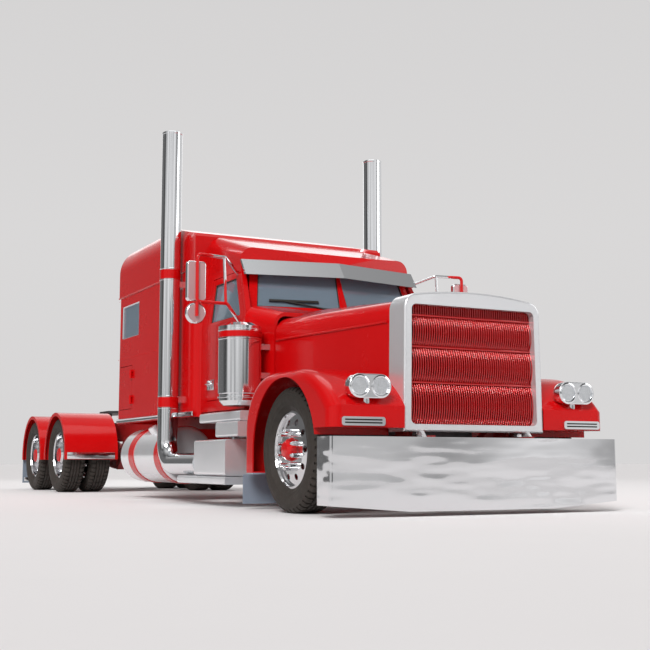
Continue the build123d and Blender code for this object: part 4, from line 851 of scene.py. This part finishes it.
class TRACTOR_OT_hood(bpy.types.Operator):
    """The raised line along the hood and the rings round the lamps"""

    bl_idname = "tractor.hood"
    bl_label = "Hood and lamps"

    def execute(self, context):
        bead = trim().bead
        line = [(from_axle(x), 0.622 + (0.566 - x) * (0.828 - 0.622) / 1.586 + bead * 0.2, 1.437)
                for x in (0.545, 0.2, -0.2, -0.6, -1.005)]
        crease = wire("hood_bead", line, bead, sides=4)
        fit(both_sides(crease), "hood_assembly", "paint")
        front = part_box("lamp_lenses")[1].x
        rings = []
        for across, level in LAMP_SPOTS:
            spot = (front, across, level)
            rings.append(turned("ring", [(LAMP_RADIUS - 0.006, -0.010), (LAMP_RADIUS - 0.006, 0.004),
                                         (LAMP_RADIUS + 0.001, 0.009), (LAMP_RADIUS + 0.009, 0.006),
                                         (LAMP_RADIUS + 0.012, -0.010), (LAMP_RADIUS - 0.006, -0.010)],
                                spot, axis="X", steps=40))
        fit(both_sides(joined("lamp_rings", rings)), "hood_assembly", "chrome")
        return {"FINISHED"}


HANDLE_SPOT = (-2.150, 1.110)


class TRACTOR_OT_doors(bpy.types.Operator):
    """Door handles and the rubber round the panes"""

    bl_idname = "tractor.doors"
    bl_label = "Doors"

    def execute(self, context):
        for side, sign in SIDES:
            skin = max(abs(corner.y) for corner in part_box(f"door_{side}"))
            body = f"door_{side}_leaf"
            rubber = [wire("rim", loop, trim().gasket, closed=True, sides=2)
                      for loop in rims(f"door_glass_{side}", (0, sign, 0.2))]
            fit(joined(f"door_gasket_{side}", rubber), body, "gasket")
            fit(self.handle(f"door_handle_{side}", skin, sign), body, "chrome")
        return {"FINISHED"}

    def handle(self, name, skin, sign):
        """A pull with a paddle in a dished plate."""
        x = from_axle(HANDLE_SPOT[0])
        z = HANDLE_SPOT[1]
        plate = bar(name, (x - 0.085, skin - 0.035, z - 0.050), (x + 0.085, skin - 0.016, z + 0.050))
        pick(plate, lambda place, way: way.y > 0.9)
        bpy.ops.mesh.inset(thickness=0.012, depth=0.0)
        bpy.ops.mesh.extrude_region_move(TRANSFORM_OT_translate={"value": (0, -0.012, 0)})
        round_edges(done(plate), 0.004)
        pull = wire("pull", [(x - 0.070, skin - 0.022, z + 0.006), (x - 0.066, skin + 0.004, z + 0.006),
                             (x - 0.040, skin + 0.012, z + 0.006), (x + 0.040, skin + 0.012, z + 0.006),
                             (x + 0.066, skin + 0.004, z + 0.006), (x + 0.070, skin - 0.022, z + 0.006)],
                    0.010, smooth=True, sides=4)
        lock = turned("lock", [(0.0, 0.0), (0.013, 0.0), (0.013, 0.008), (0.010, 0.011), (0.0, 0.011)],
                      (0, 0, 0), axis="Z", steps=20)
        lock = copied(lock, [facing((x + 0.055, skin - 0.024, z - 0.030), (0, 1, 0))])
        whole = joined(name, [plate, pull, lock])
        return whole if sign > 0 else copied(whole, [MIRROR])


SLEEPER_SKIN = 1.050
SLEEPER_ENDS = (-4.880, -2.425)
STRIP_LEVELS = (0.830, 0.876)
GUTTER_LEVEL = 2.283
RIVET_LEVELS = (0.905, 1.560, 2.245)
RIVET_COUNT = 48
RIVET_START = -4.860
RIVET_RUN = 2.400


class TRACTOR_OT_cab(bpy.types.Operator):
    """Rubber round the windscreen and the sleeper's window frames, lower strip, gutter and rivets"""

    bl_idname = "tractor.cab"
    bl_label = "Cab and sleeper"

    def execute(self, context):
        ahead = [wire("rim", loop, trim().gasket * 1.15, closed=True, sides=2)
                 for loop in rims("cab_glass", (1, 0, 0.42), lambda middle: middle.x > from_axle(-2.0))]
        fit(joined("screen_gasket", ahead), "chassis", "gasket")
        frames = []
        for side, sign in SIDES:
            for loop in rims("cab_glass", (0, sign, 0), lambda middle: middle.x < from_axle(-3.0)):
                frames.append(wire("rim", loop, 0.017, closed=True, sides=3))
        fit(joined("sleeper_window_frames", frames), "chassis", "chrome")
        skin = SLEEPER_SKIN
        back, front = (from_axle(end) for end in SLEEPER_ENDS)
        strip = bar("sleeper_strip", (back, skin - 0.004, STRIP_LEVELS[0]),
                    (front, skin + 0.007, STRIP_LEVELS[1]))
        round_edges(strip, 0.004)
        pick(strip, lambda place, way: way.y > 0.9)
        bpy.ops.mesh.inset(thickness=0.008, depth=0.002)
        fit(both_sides(done(strip)), "chassis", "chrome")
        line = [(end, skin + 0.002, GUTTER_LEVEL) for end in (back, front)]
        gutter = wire("sleeper_gutter", line, 0.010, sides=3)
        fit(both_sides(gutter), "chassis", "paint")
        rivet = turned("sleeper_rivets", [(0.0, 0.0035), (trim().rivet * 0.6, 0.003), (trim().rivet, 0.0)],
                       (0, 0, 0), axis="Z", steps=8)
        rows = []
        for level in RIVET_LEVELS:
            for step in range(RIVET_COUNT):
                x = from_axle(RIVET_START + step * RIVET_RUN / (RIVET_COUNT - 1))
                rows.append(facing((x, skin, level), (0, 1, 0)))
        fit(both_sides(copied(rivet, rows)), "chassis", "paint")
        return {"FINISHED"}


# Rear end, front end, outer edge and top of each step
STEP_FACES = ((-1.880, -0.940, 1.190, 0.820), (-1.400, -0.905, 1.225, 0.730), (-2.250, -1.090, 1.262, 0.262))


class TRACTOR_OT_steps(bpy.types.Operator):
    """Raised grip studs on the steps"""

    bl_idname = "tractor.steps"
    bl_label = "Steps"

    def execute(self, context):
        stud = turned("step_studs", [(0.0, 0.004), (0.007, 0.004), (0.011, 0.0)],
                      (0, 0, 0), axis="Z", steps=8)
        spots = []
        for rear, ahead, edge, top in STEP_FACES:
            count = int((ahead - rear - 0.08) / 0.045)
            for row in range(3):
                for step in range(count):
                    x = rear + 0.05 + step * (ahead - rear - 0.10) / (count - 1)
                    spots.append(shift(from_axle(x), edge - 0.035 - 0.040 * row, top - 0.0005))
        fit(both_sides(copied(stud, spots)), "chassis", "chrome")
        return {"FINISHED"}


CABIN_FLOOR = 0.960
SEAT_Y = (-0.470, 0.470)
SWELL_FRAMES = 16


def swollen(name, obj, voxel, most):
    """Remeshes a pad, fills it with air in a short cloth run and keeps each point near where it began."""
    apply_modifier(obj, "REMESH", mode="VOXEL", voxel_size=voxel)
    start = [vert.co.copy() for vert in obj.data.vertices]
    cloth = obj.modifiers.new("Fill", "CLOTH")
    cloth.settings.use_pressure = True
    cloth.settings.uniform_pressure_force = 4.0
    cloth.settings.effector_weights.gravity = 0.0
    scene = bpy.context.scene
    for step in range(1, SWELL_FRAMES + 1):
        scene.frame_set(step)
    filled = obj.evaluated_get(bpy.context.evaluated_depsgraph_get())
    ends = [vert.co.copy() for vert in filled.data.vertices]
    obj.modifiers.remove(cloth)
    scene.frame_set(1)
    for vert, first, last in zip(obj.data.vertices, start, ends):
        move = last - first
        if move.length > most:
            move.length = most
        vert.co = first + move
    apply_modifier(obj, "SMOOTH", factor=0.5, iterations=4)
    apply_modifier(obj, "SUBSURF", levels=1, render_levels=1)
    obj.name = name
    return obj


def channelled(obj, axis, lines, side, depth):
    """Draws sewn channels into the side of a pad that faces a direction."""
    side = Vector(side)
    for vert in obj.data.vertices:
        if vert.normal.dot(side) < 0.45:
            continue
        near = min(abs(vert.co[axis] - line) for line in lines)
        vert.co -= vert.normal * depth * math.exp(-(near / 0.011) ** 2)
    return obj


def leaning_pad(name, foot, head, low, high, left, right):
    """A back pad from its foot to its head: foot and head are (rear x, front x)."""
    pad = bar(name, (foot[0], left, low), (foot[1], right, high))
    pick(pad, lambda place, way: way.z > 0.9)
    bpy.ops.transform.translate(value=(head[0] - foot[0], 0.0, 0.0))
    bpy.ops.transform.resize(value=((head[1] - head[0]) / (foot[1] - foot[0]), 0.94, 1.0),
                             center_override=(head[0], (left + right) / 2, high))
    done(pad)
    return round_edges(pad, 0.045, segments=4)


class TRACTOR_OT_seats(bpy.types.Operator):
    """Padded seats on their pedestals and a mattress on the bunk's base"""

    bl_idname = "tractor.seats"
    bl_label = "Seats and bunk"

    def execute(self, context):
        pads = []
        bases = []
        for y in SEAT_Y:
            low = CABIN_FLOOR + 0.262
            pad = bar("pad", (from_axle(-2.235), y - 0.225, low), (from_axle(-1.775), y + 0.225, low + 0.120))
            pad = swollen("pad", round_edges(pad, 0.040, segments=4), 0.016, 0.020)
            pads.append(channelled(pad, 1, (y - 0.09, y, y + 0.09), (0, 0, 1), 0.010))
            back = leaning_pad("back", (from_axle(-2.245), from_axle(-2.150)),
                               (from_axle(-2.325), from_axle(-2.248)),
                               low + 0.145, CABIN_FLOOR + 0.985, y - 0.215, y + 0.215)
            back = swollen("back", back, 0.016, 0.014)
            pads.append(channelled(back, 2, (1.52, 1.66, 1.80), (1, 0, 0.2), 0.010))
            base = bar("base", (from_axle(-2.185), y - 0.165, CABIN_FLOOR),
                       (from_axle(-1.845), y + 0.165, low - 0.004))
            pick(base, lambda place, way: abs(way.x) > 0.9 or abs(way.y) > 0.9)
            bpy.ops.mesh.inset(thickness=0.030, depth=-0.012, use_individual=True)
            bases.append(round_edges(done(base), 0.008))
        seats = fit(joined("seat_pads", pads), "chassis", "cloth", angle=60.0)
        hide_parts("seats")
        fit(joined("seat_bases", bases), "chassis", "dash_plastic")
        low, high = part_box("sleeper_bunk")
        seam = high.z - 0.200
        pad = bar("mattress", (low.x + 0.030, low.y + 0.030, seam),
                  (high.x - 0.030, high.y - 0.030, high.z - 0.030))
        pad = swollen("mattress", round_edges(pad, 0.050, segments=4), 0.024, 0.024)
        tufts = [low.y + (high.y - low.y) * share for share in (0.2, 0.4, 0.6, 0.8)]
        pad = fit(channelled(pad, 1, tufts, (0, 0, 1), 0.012), "chassis", "cloth", angle=60.0)
        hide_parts("sleeper_bunk")
        base = bar("bunk_base", (low.x + 0.004, low.y + 0.004, low.z),
                   (high.x - 0.004, high.y - 0.004, seam - 0.004))
        pick(base, lambda place, way: way.x > 0.9)
        bpy.ops.mesh.inset(thickness=0.060, depth=-0.010)
        fit(round_edges(done(base), 0.006), "chassis", "headliner")
        return {"FINISHED"}


GRILLE_LINES = (0.973, 1.240, 1.476)
GRILLE_BANDS = (0.656, *GRILLE_LINES, 1.560)
GRILLE_HALF = 0.574
GRILLE_RIBS = 56
RIB_BOW = 0.036
RIB_POINTS = 12
FULL_BOW_BAND = 0.24        # bands at least this high bow fully
LINE_HALF = 0.566
SIGNAL_NOSE = 0.794
SIGNAL_ENDS = (0.838, 1.142)
SIGNAL_SLOTS = (0.658, 0.679)


class TRACTOR_OT_grille(bpy.types.Operator):
    """Bowed ribs and cross bars over the grille's uprights and dark strips in the turn signals' slots, which
    are painted shade
    """

    bl_idname = "tractor.grille"
    bl_label = "Grille and signals"

    def execute(self, context):
        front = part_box("grille")[1].x - 0.013
        lines = []
        for level in GRILLE_LINES:
            line = bar("line", (front - 0.008, -LINE_HALF, level - 0.007),
                       (front + 0.018, LINE_HALF, level + 0.007))
            lines.append(round_edges(line, 0.004))
        fit(joined("grille_lines", lines), "hood_assembly", "grille_paint")
        self.ribs(front)
        # Dark strips laid in the signals' slots: painted shade, in the dark rubber finish
        nose = from_axle(SIGNAL_NOSE)
        slit_shades = []
        for level in SIGNAL_SLOTS:
            slot = bar("slot", (nose + 0.013, SIGNAL_ENDS[0], level - 0.0005),
                       (nose + 0.021, SIGNAL_ENDS[1], level + 0.0112))
            slit_shades.append(round_edges(slot, 0.002))
        fit(both_sides(joined("signal_slots", slit_shades)), "hood_assembly", "gasket")
        return {"FINISHED"}

    def ribs(self, front):
        """A half-round rib on every upright, bowed forward between the cross bars."""
        pitch = 2 * GRILLE_HALF / GRILLE_RIBS
        bows = []
        for low, high in zip(GRILLE_BANDS, GRILLE_BANDS[1:]):
            bow = RIB_BOW * min(1.0, (high - low) / FULL_BOW_BAND) ** 2
            path = []
            for step in range(RIB_POINTS + 1):
                along = step / RIB_POINTS
                path.append((front + bow * 4 * along * (1 - along), 0.0, low + (high - low) * along))
            bows.append(wire("rib", path, pitch * 0.24, sides=2))
        rib = joined("grille_ribs", bows)
        spots = [shift(0.0, -GRILLE_HALF + (i + 0.5) * pitch, 0.0) for i in range(GRILLE_RIBS)]
        fit(copied(rib, spots), "hood_assembly", "grille_paint", angle=60.0)


RAIL_BOLT_LEVELS = (0.690, 0.870)
RAIL_BOLT_COUNT = 30
RAIL_BOLT_START = 0.30
RAIL_BOLT_PITCH = 0.285
RAIL_SIDE = 0.432
REAR_FENDER_RADIUS = 0.552


class TRACTOR_OT_frame(bpy.types.Operator):
    """Bolts along the rails, strips on the rear fenders and plates on the flaps"""

    bl_idname = "tractor.frame"
    bl_label = "Frame and rear"

    def execute(self, context):
        spots = []
        for step in range(RAIL_BOLT_COUNT):
            x = from_axle(RAIL_BOLT_START - step * RAIL_BOLT_PITCH)
            for level in RAIL_BOLT_LEVELS:
                spots.append(facing((x, RAIL_SIDE, level), (0, 1, 0)))
        fit(both_sides(copied(bolt_head("rail_bolts"), spots)), "chassis", "chassis_paint")
        low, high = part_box("rear_wheel_1_right_tyre")
        edge = (low.x + high.x) / 2 + REAR_FENDER_RADIUS
        strip = bar("fender_strip", (edge - 0.004, 0.600, 0.426), (edge + 0.004, 1.222, 0.512))
        fit(both_sides(round_edges(strip, 0.0025)), "chassis", "chrome")
        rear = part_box("mudflaps")[0].x
        plate = bar("flap_plate", (rear + 0.010, 0.640, 0.110), (rear + 0.014, 1.210, 0.170))
        fit(both_sides(round_edges(plate, 0.0015)), "chassis", "chrome")
        return {"FINISHED"}


STEPS = (TRACTOR_OT_finishes, TRACTOR_OT_stage, TRACTOR_OT_tyres, TRACTOR_OT_stacks, TRACTOR_OT_hood,
         TRACTOR_OT_grille, TRACTOR_OT_doors, TRACTOR_OT_cab, TRACTOR_OT_seats, TRACTOR_OT_steps,
         TRACTOR_OT_frame)


class TRACTOR_PT_pieces(bpy.types.Panel):
    """Lists the steps that dress the truck"""

    bl_idname = "TRACTOR_PT_pieces"
    bl_label = "Tractor unit"
    bl_space_type = "VIEW_3D"
    bl_region_type = "UI"
    bl_category = "Tractor"

    def draw(self, context):
        for step in STEPS:
            self.layout.operator(step.bl_idname)
        for group in (context.scene.tractor_finishes, context.scene.tractor_trim):
            for key in group.__annotations__:
                self.layout.prop(group, key)


def register():
    """Makes the settings, the steps and the panel known."""
    for kind in (TractorFinishes, TractorTrim, *STEPS, TRACTOR_PT_pieces):
        bpy.utils.register_class(kind)
    bpy.types.Scene.tractor_finishes = bpy.props.PointerProperty(type=TractorFinishes)
    bpy.types.Scene.tractor_trim = bpy.props.PointerProperty(type=TractorTrim)


def unregister():
    """Takes them away again."""
    del bpy.types.Scene.tractor_finishes
    del bpy.types.Scene.tractor_trim
    for kind in (TRACTOR_PT_pieces, *reversed(STEPS), TractorTrim, TractorFinishes):
        bpy.utils.unregister_class(kind)


def main():
    """Runs every step in order."""
    register()
    clear_selection()
    for step in STEPS:
        group, name = step.bl_idname.split(".")
        getattr(getattr(bpy.ops, group), name)()


if __name__ == "__main__":
    main()
